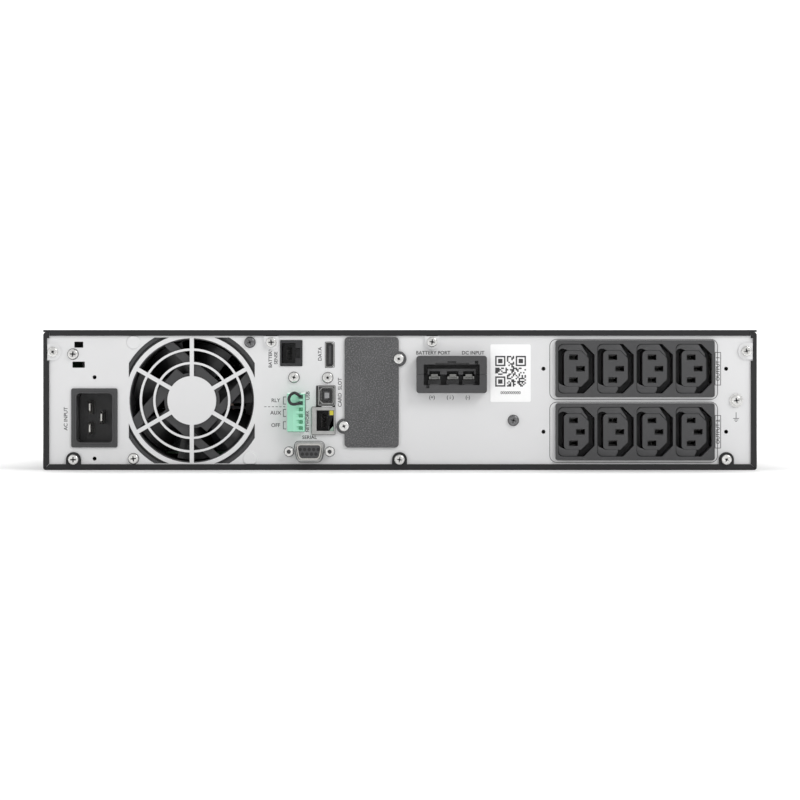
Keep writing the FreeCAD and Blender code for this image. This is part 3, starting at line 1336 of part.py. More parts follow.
def make_filter_board():
    """Small upright board behind the inlet with two film capacitors and a choke."""
    x0 = left + 8.0
    board = box(x0, x0 + 1.6, filter_y0 - 4, board_y0 - 2, 12, 76)
    parts = [board, box(x0 + 1.5, x0 + 12, filter_y0, filter_y0 + 12, 16, 40),
             box(x0 + 1.5, x0 + 12, filter_y0, filter_y0 + 12, 46, 70)]
    return fuse(parts)


def make_side_board(x, y1, z0, z1):
    """Upright circuit board beside the ports, with a chip and a row of small parts."""
    board = box(x, x + 1.6, panel_back + 2.5, y1, z0, z1)
    chips = [box(x + 1.5, x + 3.2, panel_back + 34, panel_back + 48, z0 + 14, z0 + 28),
             box(x + 1.5, x + 2.8, panel_back + 34, panel_back + 42, z0 + 34, z0 + 42)]
    return fuse([board] + chips)


wire_routes = [((outlet_x + x, panel_back + 31, z), (outlet_x + x, bay_rear - 16, z))
               for z in outlet_z for x in (-30, -10, 10, 30)]
wire_routes += [((x, panel_face + inlet_recess + 8.2, z), (x, board_y0 - 4, z)) for x, z in inlet_pins]


def make_wires(routes, radius):
    """Bundles of straight insulated wire between two points each."""
    wires = []
    for start, stop in routes:
        axis = V(*stop) - V(*start)
        wires.append(Part.makeCylinder(radius, axis.Length, V(*start), axis))
    return group(wires)


def make_label():
    """Thin code label stuck on the panel."""
    return slab(rounded(label_x, label_z, label_width, label_height, 1.0), panel_face - 0.15, panel_face)


def make_light_pipes():
    """Four clear rods from the board to the front."""
    return group([rod(x, light_z, 1.4, board_face + 1.4, bezel_face + 0.3) for x in light_x])


def main():
    os.makedirs("parts", exist_ok=True)
    save("bottom_tray", make_bottom_tray())
    save("top_cover", make_top_cover())
    save("rear_panel", make_rear_panel())
    save("front_frame", make_front_frame())
    save("front_bezel", make_front_bezel())
    save("battery_door", make_battery_door())
    save("bay_wall", make_bay_wall())
    save("cover_screws", make_cover_screws())
    save("rear_screws", make_rear_screws())
    save("front_screws", make_frame_screws())
    save("display_window", make_display_window())
    save("display_module", make_display_module())
    save("front_board", make_front_board())
    save("light_pipes", make_light_pipes())
    for name, x in zip(("power_button", "down_button", "up_button", "enter_button"), button_x):
        save(name, make_button(x))
    save("battery_tray", make_battery_tray())
    save("batteries", group([make_battery(column, row) for column in range(battery_columns)
                             for row in range(battery_rows)]))
    save("battery_terminals", make_terminals())
    save("battery_links", make_links())
    save("battery_plug", make_battery_plug())
    save("battery_socket", make_battery_socket())
    save("pull_strap", make_strap())
    save("thumb_screws", make_thumb_screws())
    save("fan_frame", make_fan_frame())
    save("fan_rotor", make_fan_rotor())
    save("inlet_housing", make_inlet())
    save("inlet_pins", make_inlet_pins())
    for name, z in zip(("lower", "upper"), outlet_z):
        save(f"outlet_block_{name}", make_outlet_block(z))
    save("outlet_contacts", group([spring for z in outlet_z for spring in make_outlet_contacts(z)]))
    save("sense_jack", make_jack())
    network_shell, insert, lights = make_network_parts()
    save("network_insert", insert)
    save("network_lights", lights)
    usb_shell, usb_mouldings = make_usb_parts()
    data_shell, data_tongue = make_data_parts()
    save("port_shells", group([network_shell, usb_shell, data_shell]))
    save("port_tongues", group(usb_mouldings + [data_tongue]))
    shell, insert = make_serial_parts()
    save("serial_shell", shell)
    save("serial_insert", insert)
    save("jack_screws", make_jack_screws())
    save("relay_header", make_relay_header())
    save("relay_plug", make_relay_plug())
    save("clamp_screws", make_clamp_screws())
    save("jumper_wire", make_jumper())
    save("slot_cover", make_slot_cover())
    save("card_cage", make_card_cage())
    lower, upper = make_battery_port()
    save("port_lower", lower)
    save("port_upper", upper)
    save("port_contacts", make_port_contacts())
    save("code_label", make_label())
    save("earth_washer", make_earth_washer())
    save("power_board", make_power_board())
    save("heat_sinks", group([make_heat_sink(x) for x in sink_x]))
    save("capacitors", make_capacitors())
    save("wound_parts", group(make_inductors() + [make_transformer()]))
    save("relays", make_relays())
    save("side_boards", group([make_filter_board(), make_side_board(-39.5, panel_back + 90, 18.5, 79),
                               make_side_board(-57.9, panel_back + 80, 19, 80)]))
    save("inner_wires", make_wires(wire_routes, 2.2))
    faces = (rear_face, front_face, bezel_face)
    print("rear, front and bezel faces:", [round(y, 3) for y in faces])
    print("tray comes out", tray_travel, "and the door", tray_travel + door_stand)
    print("nodes", len([f for f in os.listdir("parts") if f.endswith(".step")]))


main()
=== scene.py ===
# %% [markdown]
# # The back of a two-unit rackmount power supply
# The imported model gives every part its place, so this file only has to give them their looks.  It works in
# metres, in the frame of the model: +X to the right as one faces the rear panel, +Z up, and the rear panel
# looks towards -Y.  Each step says what the real piece is, how it could be made and why it is made this way.

import json
import math

import bmesh
import bpy
import numpy as np
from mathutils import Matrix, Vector


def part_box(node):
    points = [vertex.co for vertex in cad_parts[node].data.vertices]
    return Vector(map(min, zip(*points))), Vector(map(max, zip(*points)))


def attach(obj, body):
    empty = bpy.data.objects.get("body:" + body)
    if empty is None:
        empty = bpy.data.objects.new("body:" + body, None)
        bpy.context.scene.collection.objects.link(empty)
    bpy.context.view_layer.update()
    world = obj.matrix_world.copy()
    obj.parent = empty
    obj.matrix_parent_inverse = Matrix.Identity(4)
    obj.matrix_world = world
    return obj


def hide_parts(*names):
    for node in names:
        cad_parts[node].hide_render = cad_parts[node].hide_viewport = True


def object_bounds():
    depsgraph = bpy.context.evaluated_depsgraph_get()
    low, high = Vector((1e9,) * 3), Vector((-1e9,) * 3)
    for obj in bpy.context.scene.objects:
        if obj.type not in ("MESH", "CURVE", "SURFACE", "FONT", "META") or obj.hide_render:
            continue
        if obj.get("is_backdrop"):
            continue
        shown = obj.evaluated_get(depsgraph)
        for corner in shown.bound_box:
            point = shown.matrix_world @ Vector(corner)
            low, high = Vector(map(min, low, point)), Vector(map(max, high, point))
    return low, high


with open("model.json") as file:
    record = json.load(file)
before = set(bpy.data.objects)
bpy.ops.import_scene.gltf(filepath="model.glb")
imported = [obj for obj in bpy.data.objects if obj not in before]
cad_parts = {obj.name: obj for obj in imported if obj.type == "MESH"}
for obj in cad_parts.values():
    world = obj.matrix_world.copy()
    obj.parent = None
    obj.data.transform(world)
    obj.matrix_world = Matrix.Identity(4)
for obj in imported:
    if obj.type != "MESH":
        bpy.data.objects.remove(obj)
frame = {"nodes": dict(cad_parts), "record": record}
cad_low, cad_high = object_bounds()
MM = 0.001
print("model box in mm:", [round(v / MM, 1) for v in (*cad_low, *cad_high)])


def place(node):
    """Middle of a model node's box."""
    low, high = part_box(node)
    return (low + high) / 2


# the plane of the light panel's outer face, and the folded edge in front of it
sheet = 1.2 * MM
edge_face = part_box("top_cover")[0].y
panel_face = edge_face + sheet
print("panel face at y =", round(panel_face / MM, 2), "mm")

# %% [markdown]
# ## Camera, floor and light
# A catalogue picture of a panel is taken square on with a long lens, so that nothing leans.  The camera
# stands 1.5 m off with a 110 mm lens at the height of the panel's middle.  A pale floor that runs up into a
# pale wall gives the even background of a light tent.

# %% Camera
view_distance = 1.5
camera_data = bpy.data.cameras.new("camera")
camera = bpy.data.objects.new("camera", camera_data)
bpy.context.scene.collection.objects.link(camera)
camera_data.lens = 110.0
camera_data.sensor_width = 36.0
camera.location = (0.0, edge_face - view_distance, cad_high.z / 2)
camera.rotation_euler = (math.radians(90), 0, 0)
bpy.context.scene.camera = camera


# %% A mesh from whole arrays
def mesh_object(name, points, faces, smooth=True):
    """Object from an array of points and a list or array of faces."""
    mesh = bpy.data.meshes.new(name)
    mesh.from_pydata(np.asarray(points, float).tolist(), [], np.asarray(faces).tolist()
                     if isinstance(faces, np.ndarray) else faces)
    mesh.polygons.foreach_set("use_smooth", [smooth] * len(mesh.polygons))
    mesh.update()
    piece = bpy.data.objects.new(name, mesh)
    bpy.context.scene.collection.objects.link(piece)
    return piece


def grid_faces(rows, columns, around=False):
    """Quads of a grid of points numbered row by row; around joins the last column to the first."""
    across = columns if around else columns - 1
    i, j = np.meshgrid(np.arange(rows - 1), np.arange(across), indexing="ij")
    a = i * columns + j
    b = i * columns + (j + 1) % columns
    return np.stack([a, b, b + columns, a + columns], axis=-1).reshape(-1, 4)


# %% Floor and wall in one sweep
def make_backdrop():
    """Profile carried along X: flat floor, a quarter circle of radius 1.2 m, then a wall 4.2 m away."""
    turn = np.linspace(0, math.pi / 2, 24)
    floor_y = np.array([-6.0, 3.0])
    y = np.concatenate([floor_y, 3.0 + 1.2 * np.sin(turn), [4.2]])
    z = np.concatenate([[0.0, 0.0], 1.2 - 1.2 * np.cos(turn), [5.0]])
    x = np.array([-6.0, 6.0])
    grid_x, grid_y = np.meshgrid(x, y)
    grid_z = np.repeat(z[:, None], 2, axis=1)
    points = np.stack([grid_x, grid_y, grid_z], axis=-1).reshape(-1, 3)
    return mesh_object("backdrop", points, grid_faces(len(y), 2))


backdrop = make_backdrop()
backdrop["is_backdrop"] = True


# %% Lights
def area_light(name, location, target, size, power):
    """Square soft light aimed at a point."""
    data = bpy.data.lights.new(name, "AREA")
    data.size = size
    data.energy = power
    light = bpy.data.objects.new(name, data)
    bpy.context.scene.collection.objects.link(light)
    light.location = location
    light.rotation_euler = (Vector(target) - Vector(location)).to_track_quat("-Z", "Y").to_euler()
    return light


area_light("key", (1.2, -1.5, 1.3), (0, edge_face, 0.04), 0.8, 13)
area_light("fill", (-1.5, -1.6, 0.7), (0, edge_face, 0.04), 1.4, 2.5)
area_light("back", (0.0, 2.0, 2.4), (0, 2.2, 0.0), 2.8, 95)
world = bpy.data.worlds.new("studio")
world.use_nodes = True
world.node_tree.nodes["Background"].inputs["Color"].default_value = (1, 1, 1, 1)
world.node_tree.nodes["Background"].inputs["Strength"].default_value = 0.68
bpy.context.scene.world = world
bpy.context.scene.view_settings.view_transform = "Standard"

# %% [markdown]
# ## Finishes
# Every finish is a small node tree on Object coordinates, in metres, so a scale of 1000 means one millimetre.
# A painted or moulded surface is never one flat colour: slow clouds shift its tone and gloss a little, and a
# fine grain gives the texture that one feels with a fingertip.


# %% A grained finish for paint and plastic
def start_material(name, colour, roughness, metallic=0.0):
    """Principled material with its plain values on the shader's own sockets."""
    material = bpy.data.materials.new(name)
    material.use_nodes = True
    tree = material.node_tree
    shader = tree.nodes["Principled BSDF"]
    shader.inputs["Base Color"].default_value = (*colour, 1)
    shader.inputs["Roughness"].default_value = roughness
    shader.inputs["Metallic"].default_value = metallic
    coordinates = tree.nodes.new("ShaderNodeTexCoord").outputs["Object"]
    return material, tree, shader, coordinates


def noise(tree, coordinates, scale, detail=2.0, stretch=(1, 1, 1)):
    """Noise of the given scale; stretch squeezes it along an axis."""
    if stretch != (1, 1, 1):
        mapping = tree.nodes.new("ShaderNodeMapping")
        mapping.inputs["Scale"].default_value = stretch
        tree.links.new(coordinates, mapping.inputs["Vector"])
        coordinates = mapping.outputs["Vector"]
    node = tree.nodes.new("ShaderNodeTexNoise")
    node.inputs["Scale"].default_value = scale
    node.inputs["Detail"].default_value = detail
    tree.links.new(coordinates, node.inputs["Vector"])
    return node.outputs["Fac"]


def between(tree, value, low, high, start=0.3, stop=0.7):
    """Value from start..stop spread over low..high."""
    node = tree.nodes.new("ShaderNodeMapRange")
    for key, number in (("From Min", start), ("From Max", stop), ("To Min", low), ("To Max", high)):
        node.inputs[key].default_value = number
    tree.links.new(value, node.inputs["Value"])
    return node.outputs["Result"]


def blend_colours(tree, factor, first, second):
    """Mix of two colours by a factor."""
    node = tree.nodes.new("ShaderNodeMix")
    node.data_type = "RGBA"
    node.inputs["A"].default_value = (*first, 1)
    node.inputs["B"].default_value = (*second, 1)
    tree.links.new(factor, node.inputs["Factor"])
    return node.outputs["Result"]


def add_bump(tree, shader, height, distance, strength=1.0):
    """Bump of a height texture, distance deep."""
    bump = tree.nodes.new("ShaderNodeBump")
    bump.inputs["Distance"].default_value = distance
    bump.inputs["Strength"].default_value = strength
    tree.links.new(height, bump.inputs["Height"])
    tree.links.new(bump.outputs["Normal"], shader.inputs["Normal"])


def grained(name, colour, roughness, grain, depth, shift=0.08, gloss_shift=0.06):
    """Paint or moulded plastic: clouds in tone and gloss over a grain of the given size and depth."""
    material, tree, shader, coordinates = start_material(name, colour, roughness)
    clouds = noise(tree, coordinates, 16.0, 4.0)
    darker = tuple(c * (1 - shift) for c in colour)
    lighter = tuple(min(1.0, c * (1 + shift)) for c in colour)
    tree.links.new(blend_colours(tree, between(tree, clouds, 0, 1), darker, lighter),
                   shader.inputs["Base Color"])
    patches = noise(tree, coordinates, 55.0, 3.0)
    tree.links.new(between(tree, patches, roughness - gloss_shift, roughness + gloss_shift),
                   shader.inputs["Roughness"])
    add_bump(tree, shader, noise(tree, coordinates, 1 / grain, 3.0), depth)
    return material


def plated(name, colour, roughness, streak=(1, 1, 1)):
    """Plated metal: faint streaks in gloss and tone, with fine scratches as bump."""
    material, tree, shader, coordinates = start_material(name, colour, roughness, 1.0)
    streaks = noise(tree, coordinates, 900.0, 3.0, streak)
    tree.links.new(between(tree, streaks, roughness * 0.75, roughness * 1.35), shader.inputs["Roughness"])
    clouds = noise(tree, coordinates, 220.0, 2.0)
    darker = tuple(c * 0.82 for c in colour)
    tree.links.new(blend_colours(tree, between(tree, clouds, 0, 1), darker, colour),
                   shader.inputs["Base Color"])
    add_bump(tree, shader, streaks, 0.01 * MM)
    return material


# %% The finishes of this unit
finishes = {
    "case_paint": grained("case_paint", (0.02, 0.02, 0.021), 0.5, 0.35 * MM, 0.02 * MM, 0.03, 0.02),
    "panel_paint": grained("panel_paint", (0.74, 0.74, 0.745), 0.42, 0.5 * MM, 0.004 * MM, 0.012),
    "inner_steel": plated("inner_steel", (0.5, 0.5, 0.49), 0.36, (1, 0.05, 1)),
    "bezel_plastic": grained("bezel_plastic", (0.028, 0.029, 0.031), 0.5, 0.3 * MM, 0.02 * MM),
    "display_glass": grained("display_glass", (0.02, 0.045, 0.05), 0.12, 0.4 * MM, 0.001 * MM),
    "board_green": grained("board_green", (0.012, 0.12, 0.04), 0.3, 0.8 * MM, 0.02 * MM),
    "light_clear": grained("light_clear", (0.7, 0.85, 0.72), 0.15, 0.4 * MM, 0.001 * MM),
    "button_plastic": grained("button_plastic", (0.11, 0.11, 0.12), 0.4, 0.25 * MM, 0.01 * MM),
    "battery_abs": grained("battery_abs", (0.05, 0.05, 0.055), 0.45, 0.5 * MM, 0.02 * MM),
    "terminal_metal": plated("terminal_metal", (0.78, 0.77, 0.72), 0.28),
    "link_sleeve": grained("link_sleeve", (0.4, 0.02, 0.015), 0.45, 0.5 * MM, 0.01 * MM),
    "plug_grey": grained("plug_grey", (0.22, 0.23, 0.25), 0.45, 0.3 * MM, 0.01 * MM),
    "socket_black": grained("socket_black", (0.055, 0.055, 0.057), 0.44, 0.25 * MM, 0.008 * MM),
    "contact_tin": plated("contact_tin", (0.62, 0.61, 0.58), 0.3),
    "fan_plastic": grained("fan_plastic", (0.045, 0.045, 0.047), 0.4, 0.5 * MM, 0.006 * MM),
    "plug_mint": grained("plug_mint", (0.35, 0.74, 0.54), 0.4, 0.3 * MM, 0.006 * MM, 0.03),
    "wire_black": grained("wire_black", (0.018, 0.018, 0.02), 0.38, 0.5 * MM, 0.006 * MM),
    "port_shell": plated("port_shell", (0.5, 0.5, 0.49), 0.36, (1, 0.1, 1)),
    "jack_plastic": grained("jack_plastic", (0.06, 0.06, 0.062), 0.42, 0.3 * MM, 0.006 * MM),
    "serial_insert": grained("serial_insert", (0.06, 0.06, 0.062), 0.4, 0.3 * MM, 0.006 * MM),
    "label_white": grained("label_white", (0.97, 0.97, 0.97), 0.5, 0.2 * MM, 0.003 * MM, 0.01),
    "sink_aluminium": plated("sink_aluminium", (0.6, 0.61, 0.62), 0.35, (1, 0.03, 1)),
    "capacitor_sleeve": grained("capacitor_sleeve", (0.018, 0.018, 0.02), 0.25, 0.5 * MM, 0.003 * MM),
    "wound_copper": plated("wound_copper", (0.32, 0.15, 0.06), 0.4, (1, 1, 0.1)),
    "relay_blue": grained("relay_blue", (0.025, 0.032, 0.05), 0.3, 0.4 * MM, 0.003 * MM),
    "blade_black": grained("blade_black", (0.012, 0.012, 0.013), 0.35, 0.5 * MM, 0.004 * MM),
    "contact_grey": plated("contact_grey", (0.3, 0.3, 0.29), 0.42),
    "tongue_grey": grained("tongue_grey", (0.3, 0.3, 0.305), 0.4, 0.3 * MM, 0.004 * MM),
    "contact_dark": plated("contact_dark", (0.16, 0.16, 0.155), 0.5),
    "ink_and_shade_grey": grained("ink_and_shade_grey", (0.05, 0.05, 0.052), 0.6, 0.2 * MM, 0.002 * MM),
    "ink_pale": grained("ink_pale", (0.7, 0.7, 0.7), 0.55, 0.2 * MM, 0.002 * MM),
}


# %% [markdown]
# The cover of the management slot is powder coated with a coarse splatter: pale specks that stand up from
# the coat.  A fine noise, cut hard, gives the specks and drives the bump, and a slow one clouds the coat.

# %% Speckled powder coat
def make_splatter():
    """Dark grey coat; specks where a fine noise passes a threshold."""
    material, tree, shader, coordinates = start_material("slot_paint", (0.075, 0.075, 0.078), 0.55)
    specks = noise(tree, coordinates, 1 / (0.7 * MM), 2.0)
    clouds = noise(tree, coordinates, 60.0, 3.0)
    dark = blend_colours(tree, between(tree, clouds, 0, 1), (0.062, 0.062, 0.064), (0.082, 0.082, 0.085))
    mixed = tree.nodes.new("ShaderNodeMix")
    mixed.data_type = "RGBA"
    mixed.inputs["B"].default_value = (0.17, 0.17, 0.172, 1)
    tree.links.new(dark, mixed.inputs["A"])
    tree.links.new(between(tree, specks, 0, 1, 0.5, 0.66), mixed.inputs["Factor"])
    tree.links.new(mixed.outputs["Result"], shader.inputs["Base Color"])
    add_bump(tree, shader, specks, 0.12 * MM, 0.8)
    return material


finishes["slot_paint"] = make_splatter()
finishes["case_paint"].node_tree.nodes["Principled BSDF"].inputs["Specular IOR Level"].default_value = 0.3

# %% [markdown]
# Most screws are bright zinc.  Two are blackened: the one at the fan's upper right and the one under the
# label.  They are solids of one node, so the finish itself darkens round those two places.

# %% Screw finish with two blackened screws
fan_middle = place("fan_rotor")
fan_screw_reach = 35.75 * MM
label_screw = (69.6 * MM, 30.5 * MM)
black_screws = [(fan_middle.x + fan_screw_reach, fan_middle.z + fan_screw_reach), label_screw]


def make_screw_finish():
    """Plated metal; within 4 mm of a blackened screw the colour is dark and the surface dull."""
    material = plated("screw_zinc", (0.86, 0.855, 0.84), 0.24)
    tree = material.node_tree
    shader = tree.nodes["Principled BSDF"]
    split = tree.nodes.new("ShaderNodeSeparateXYZ")
    coordinates = next(n for n in tree.nodes if n.type == "TEX_COORD").outputs["Object"]
    tree.links.new(coordinates, split.inputs["Vector"])
    nearest = None
    for x, z in black_screws:
        flat = tree.nodes.new("ShaderNodeCombineXYZ")
        tree.links.new(split.outputs["X"], flat.inputs["X"])
        tree.links.new(split.outputs["Z"], flat.inputs["Z"])
        away = tree.nodes.new("ShaderNodeVectorMath")
        away.operation = "DISTANCE"
        away.inputs[1].default_value = (x, 0, z)
        tree.links.new(flat.outputs["Vector"], away.inputs[0])
        if nearest is None:
            nearest = away.outputs["Value"]
            continue
        least = tree.nodes.new("ShaderNodeMath")
        least.operation = "MINIMUM"
        tree.links.new(nearest, least.inputs[0])
        tree.links.new(away.outputs["Value"], least.inputs[1])
        nearest = least.outputs["Value"]
    blackened = between(tree, nearest, 1, 0, 3.9 * MM, 4.1 * MM)
    bright = shader.inputs["Base Color"].links[0].from_socket
    mixed = tree.nodes.new("ShaderNodeMix")
    mixed.data_type = "RGBA"
    mixed.inputs["B"].default_value = (0.2, 0.2, 0.205, 1)
    tree.links.new(bright, mixed.inputs["A"])
    tree.links.new(blackened, mixed.inputs["Factor"])
    tree.links.new(mixed.outputs["Result"], shader.inputs["Base Color"])
    return material


finishes["screw_zinc"] = make_screw_finish()

# %% [markdown]
# The display window is clear tinted acrylic.  The two lights of the network socket are one yellow and one
# pale green window, told apart by their height.  The pull strap is woven nylon: two crossed waves.


# %% Window, lamps and webbing
def make_window_finish():
    """Tinted clear acrylic: see-through, with a smooth surface."""
    material, tree, shader, coordinates = start_material("window_clear", (0.5, 0.55, 0.6), 0.05)
    shader.inputs["Transmission Weight"].default_value = 0.9
    shader.inputs["IOR"].default_value = 1.49
    add_bump(tree, shader, noise(tree, coordinates, 300.0), 0.001 * MM)
    return material


def make_lamp_finish():
    """Yellow above the middle of the socket and pale green below it, clouded like moulded resin."""
    material, tree, shader, coordinates = start_material("lamp_resin", (0.6, 0.6, 0.3), 0.2)
    split = tree.nodes.new("ShaderNodeSeparateXYZ")
    tree.links.new(coordinates, split.inputs["Vector"])
    middle = place("network_insert").z
    upper = between(tree, split.outputs["Z"], 0, 1, middle - 0.1 * MM, middle + 0.1 * MM)
    colour = blend_colours(tree, upper, (0.3, 0.42, 0.34), (0.62, 0.55, 0.05))
    tree.links.new(colour, shader.inputs["Base Color"])
    add_bump(tree, shader, noise(tree, coordinates, 1200.0), 0.03 * MM)
    return material


def make_webbing():
    """Two waves at right angles, 1 mm apart, multiplied into the bumps of a weave."""
    material, tree, shader, coordinates = start_material("strap_web", (0.035, 0.035, 0.04), 0.85)
    shader.inputs["Sheen Weight"].default_value = 0.3
    product = tree.nodes.new("ShaderNodeMath")
    product.operation = "MULTIPLY"
    for index, direction in enumerate(("X", "Z")):
        wave = tree.nodes.new("ShaderNodeTexWave")
        wave.bands_direction = direction
        wave.inputs["Scale"].default_value = 160.0
        wave.inputs["Distortion"].default_value = 0.4
        tree.links.new(coordinates, wave.inputs["Vector"])
        tree.links.new(wave.outputs["Fac"], product.inputs[index])
    weave = product.outputs["Value"]
    tree.links.new(blend_colours(tree, weave, (0.02, 0.02, 0.023), (0.06, 0.06, 0.066)),
                   shader.inputs["Base Color"])
    add_bump(tree, shader, weave, 0.15 * MM)
    return material


finishes["window_clear"] = make_window_finish()
finishes["lamp_resin"] = make_lamp_finish()
finishes["strap_web"] = make_webbing()

# %% Finishes on the model's nodes
slot_of = {row["node"]: row["material_slot"] for row in frame["record"]["subparts"]}
body_of = {node: body for body, nodes in frame["record"]["behaviour"]["bodies"].items() for node in nodes}
for node, piece in frame["nodes"].items():
    piece.data.materials.clear()
    piece.data.materials.append(finishes[slot_of[node]])
frame["nodes"]["network_lights"].data.materials[0] = finishes["lamp_resin"]
frame["nodes"]["outlet_contacts"].data.materials[0] = finishes["contact_dark"]
print("finishes:", len(finishes))

floor_finish = grained("floor_paper", (0.93, 0.93, 0.93), 0.8, 1.5 * MM, 0.01 * MM, 0.004)
backdrop.data.materials.append(floor_finish)


# %% Fitting a new piece to the unit
def fit(piece, body, slot, finish=None, smooth_angle=35.0):
    """Give a piece the named finish, or else the finish of the slot given, and let it ride on a body."""
    piece.data.materials.clear()
    piece.data.materials.append(finishes[finish or slot])
    if piece.type == "MESH":
        piece.data.set_sharp_from_angle(angle=math.radians(smooth_angle))
    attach(piece, body)
    return piece


# points of the model's meshes meet within the first distance, points of small shapes within the second
model_merge = 2e-6
fine_merge = 1e-7


def close_mesh(piece, distance=1e-6):
    """Merge points that coincide and point all faces outwards."""
    work = bmesh.new()
    work.from_mesh(piece.data)
    bmesh.ops.remove_doubles(work, verts=work.verts, dist=distance)
    bmesh.ops.dissolve_degenerate(work, edges=work.edges, dist=distance / 10)
    bmesh.ops.recalc_face_normals(work, faces=work.faces)
    work.to_mesh(piece.data)
    work.free()
    return piece


# %% [markdown]
# ## Edges
# Nothing that is folded, cast or moulded has a truly sharp edge: a narrow rounding catches the light along
# every rim.  A copy of the model's mesh is merged, its flat triangles are joined, and a Bevel modifier rounds
# the edges that turn more than 40 degrees.  The copy then stands for the model's node.

# %% Rounded edges
edge_rounding = {
    "outlet_block_lower": 0.3, "outlet_block_upper": 0.3, "inlet_housing": 0.35, "port_lower": 0.3,
    "port_upper": 0.3, "relay_plug": 0.15, "slot_cover": 0.2, "sense_jack": 0.15, "network_insert": 0.12,
    "port_shells": 0.1, "port_tongues": 0.1, "serial_shell": 0.15, "jack_screws": 0.2, "top_cover": 0.25,
    "bottom_tray": 0.25, "front_bezel": 0.4, "battery_door": 0.4, "inlet_pins": 0.1, "port_contacts": 0.15,
    "power_button": 0.3, "down_button": 0.3, "up_button": 0.3, "enter_button": 0.3, "thumb_screws": 0.2,
    "batteries": 0.8, "battery_plug": 0.3, "fan_frame": 0.25, "relays": 0.3,
}


def round_edges(node, width, finish=None):
    """Merged copy of a node's mesh with a two-step bevel on its sharp edges."""
    source = frame["nodes"][node]
    piece = bpy.data.objects.new(node + "_rounded", source.data.copy())
    bpy.context.scene.collection.objects.link(piece)
    work = bmesh.new()
    work.from_mesh(piece.data)
    bmesh.ops.remove_doubles(work, verts=work.verts, dist=model_merge)
    bmesh.ops.dissolve_limit(work, angle_limit=math.radians(0.6), verts=work.verts, edges=work.edges)
    work.to_mesh(piece.data)
    work.free()
    piece.data.polygons.foreach_set("use_smooth", [True] * len(piece.data.polygons))
    bevel = piece.modifiers.new("rounding", "BEVEL")
    bevel.width = width * MM
    bevel.segments = 2
    bevel.limit_method = "ANGLE"
    bevel.angle_limit = math.radians(40)
    bevel.use_clamp_overlap = True
    weighting = piece.modifiers.new("flat faces stay flat", "WEIGHTED_NORMAL")
    weighting.mode = "FACE_AREA"
    weighting.weight = 100
    weighting.keep_sharp = True
    fit(piece, body_of[node], slot_of[node], finish, smooth_angle=40.0)
    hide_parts(node)
    return piece


duller = {"port_contacts": "contact_grey", "sense_jack": "wire_black"}
rounded_pieces = {node: round_edges(node, width, duller.get(node)) for node, width in edge_rounding.items()}
print("rounded:", len(rounded_pieces))


# %% [markdown]
# ## Fan rotor
# An axial fan's blades are thin cambered wings, twisted so that the tip meets the air flatter than the root.
# The surface is a loop round the wing's section, carried from the hub to the tip while the pitch falls.

# %% Rotor
blades = 7
root_radius, tip_radius = 15.6, 36.5
root_chord, chord_growth = 18.0, 10.5
root_pitch, pitch_fall = 42, 12
camber = 2.2


def wing(angle, steps=20, spans=9):
    """Section loop (cos t, sin t) scaled to chord and thickness, bowed by a camber, pitched and wrapped round
    the axis; radius grows from hub to tip while chord grows and pitch falls."""
    t = np.linspace(0, 2 * math.pi, steps, endpoint=False)[None, :]
    share = np.linspace(0, 1, spans)[:, None]
    radius = (root_radius + (tip_radius - root_radius) * share) * MM
    chord = (root_chord + chord_growth * share) * MM
    pitch = np.radians(root_pitch - pitch_fall * share)
    along = np.cos(t) * chord / 2
    off = (np.sin(t) * (0.75 - 0.25 * share) * np.sqrt(np.abs(np.sin(t)) + 0.05)
           + camber * (1 - np.cos(t) ** 2)) * MM
    depth = fan_middle.y + along * np.sin(pitch) - off * np.cos(pitch)
    turn = angle + (along * np.cos(pitch) + off * np.sin(pitch)) / radius
    x = fan_middle.x + radius * np.cos(turn)
    z = fan_middle.z + radius * np.sin(turn)
    points = np.stack([x, depth, z], axis=-1).reshape(-1, 3)
    faces = grid_faces(spans, steps, around=True).tolist()
    faces += [list(range(steps))[::-1], [(spans - 1) * steps + i for i in range(steps)]]
    return points, faces


def turned_surface(profile, centre, steps=72):
    """Profile of (radius, depth) carried round an axis along Y."""
    profile = np.asarray(profile, float) * MM
    a = np.linspace(0, 2 * math.pi, steps, endpoint=False)[None, :]
    radius, depth = profile[:, :1], profile[:, 1:]
    points = np.stack([centre[0] + radius * np.cos(a), centre[1] + depth + 0 * a,
                       centre[2] + radius * np.sin(a)], axis=-1).reshape(-1, 3)
    return points, grid_faces(len(profile), steps, around=True).tolist()


def joined(parts):
    """One array of points and one list of faces from several."""
    points, faces, start = [], [], 0
    for part_points, part_faces in parts:
        points.append(np.asarray(part_points, float))
        faces += [[i + start for i in face] for face in part_faces]
        start += len(part_points)
    return np.concatenate(points), faces


rotor_low, rotor_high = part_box("fan_rotor")
hub_front = (rotor_low.y - fan_middle.y) / MM + 3.2
hub_back = (rotor_high.y - fan_middle.y) / MM
hub_profile = [(0, hub_front + 2.2), (13.8, hub_front + 2.2), (14.6, hub_front + 1.2), (14.8, hub_front),
               (15.9, hub_front), (16.2, hub_front + 0.6), (16.2, hub_back - 1.2), (15.2, hub_back),
               (0, hub_back)]
blade_angles = [2 * math.pi / blades * i + 0.3 for i in range(blades)]
rotor_parts = [wing(a) for a in blade_angles] + [turned_surface(hub_profile, fan_middle)]
rotor = close_mesh(mesh_object("fan_rotor_wings", *joined(rotor_parts)))
fit(rotor, "fan_rotor", "fan_plastic", "blade_black")
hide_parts("fan_rotor")
print("rotor faces:", len(rotor.data.polygons))


# %% [markdown]
# ## Outlet ledges
# In each outlet a ledge bridges the channel above and below the core, so only the sides of the channel look
# black.  A ledge is an outline in the panel's plane carried straight back, with its front edge drawn in.

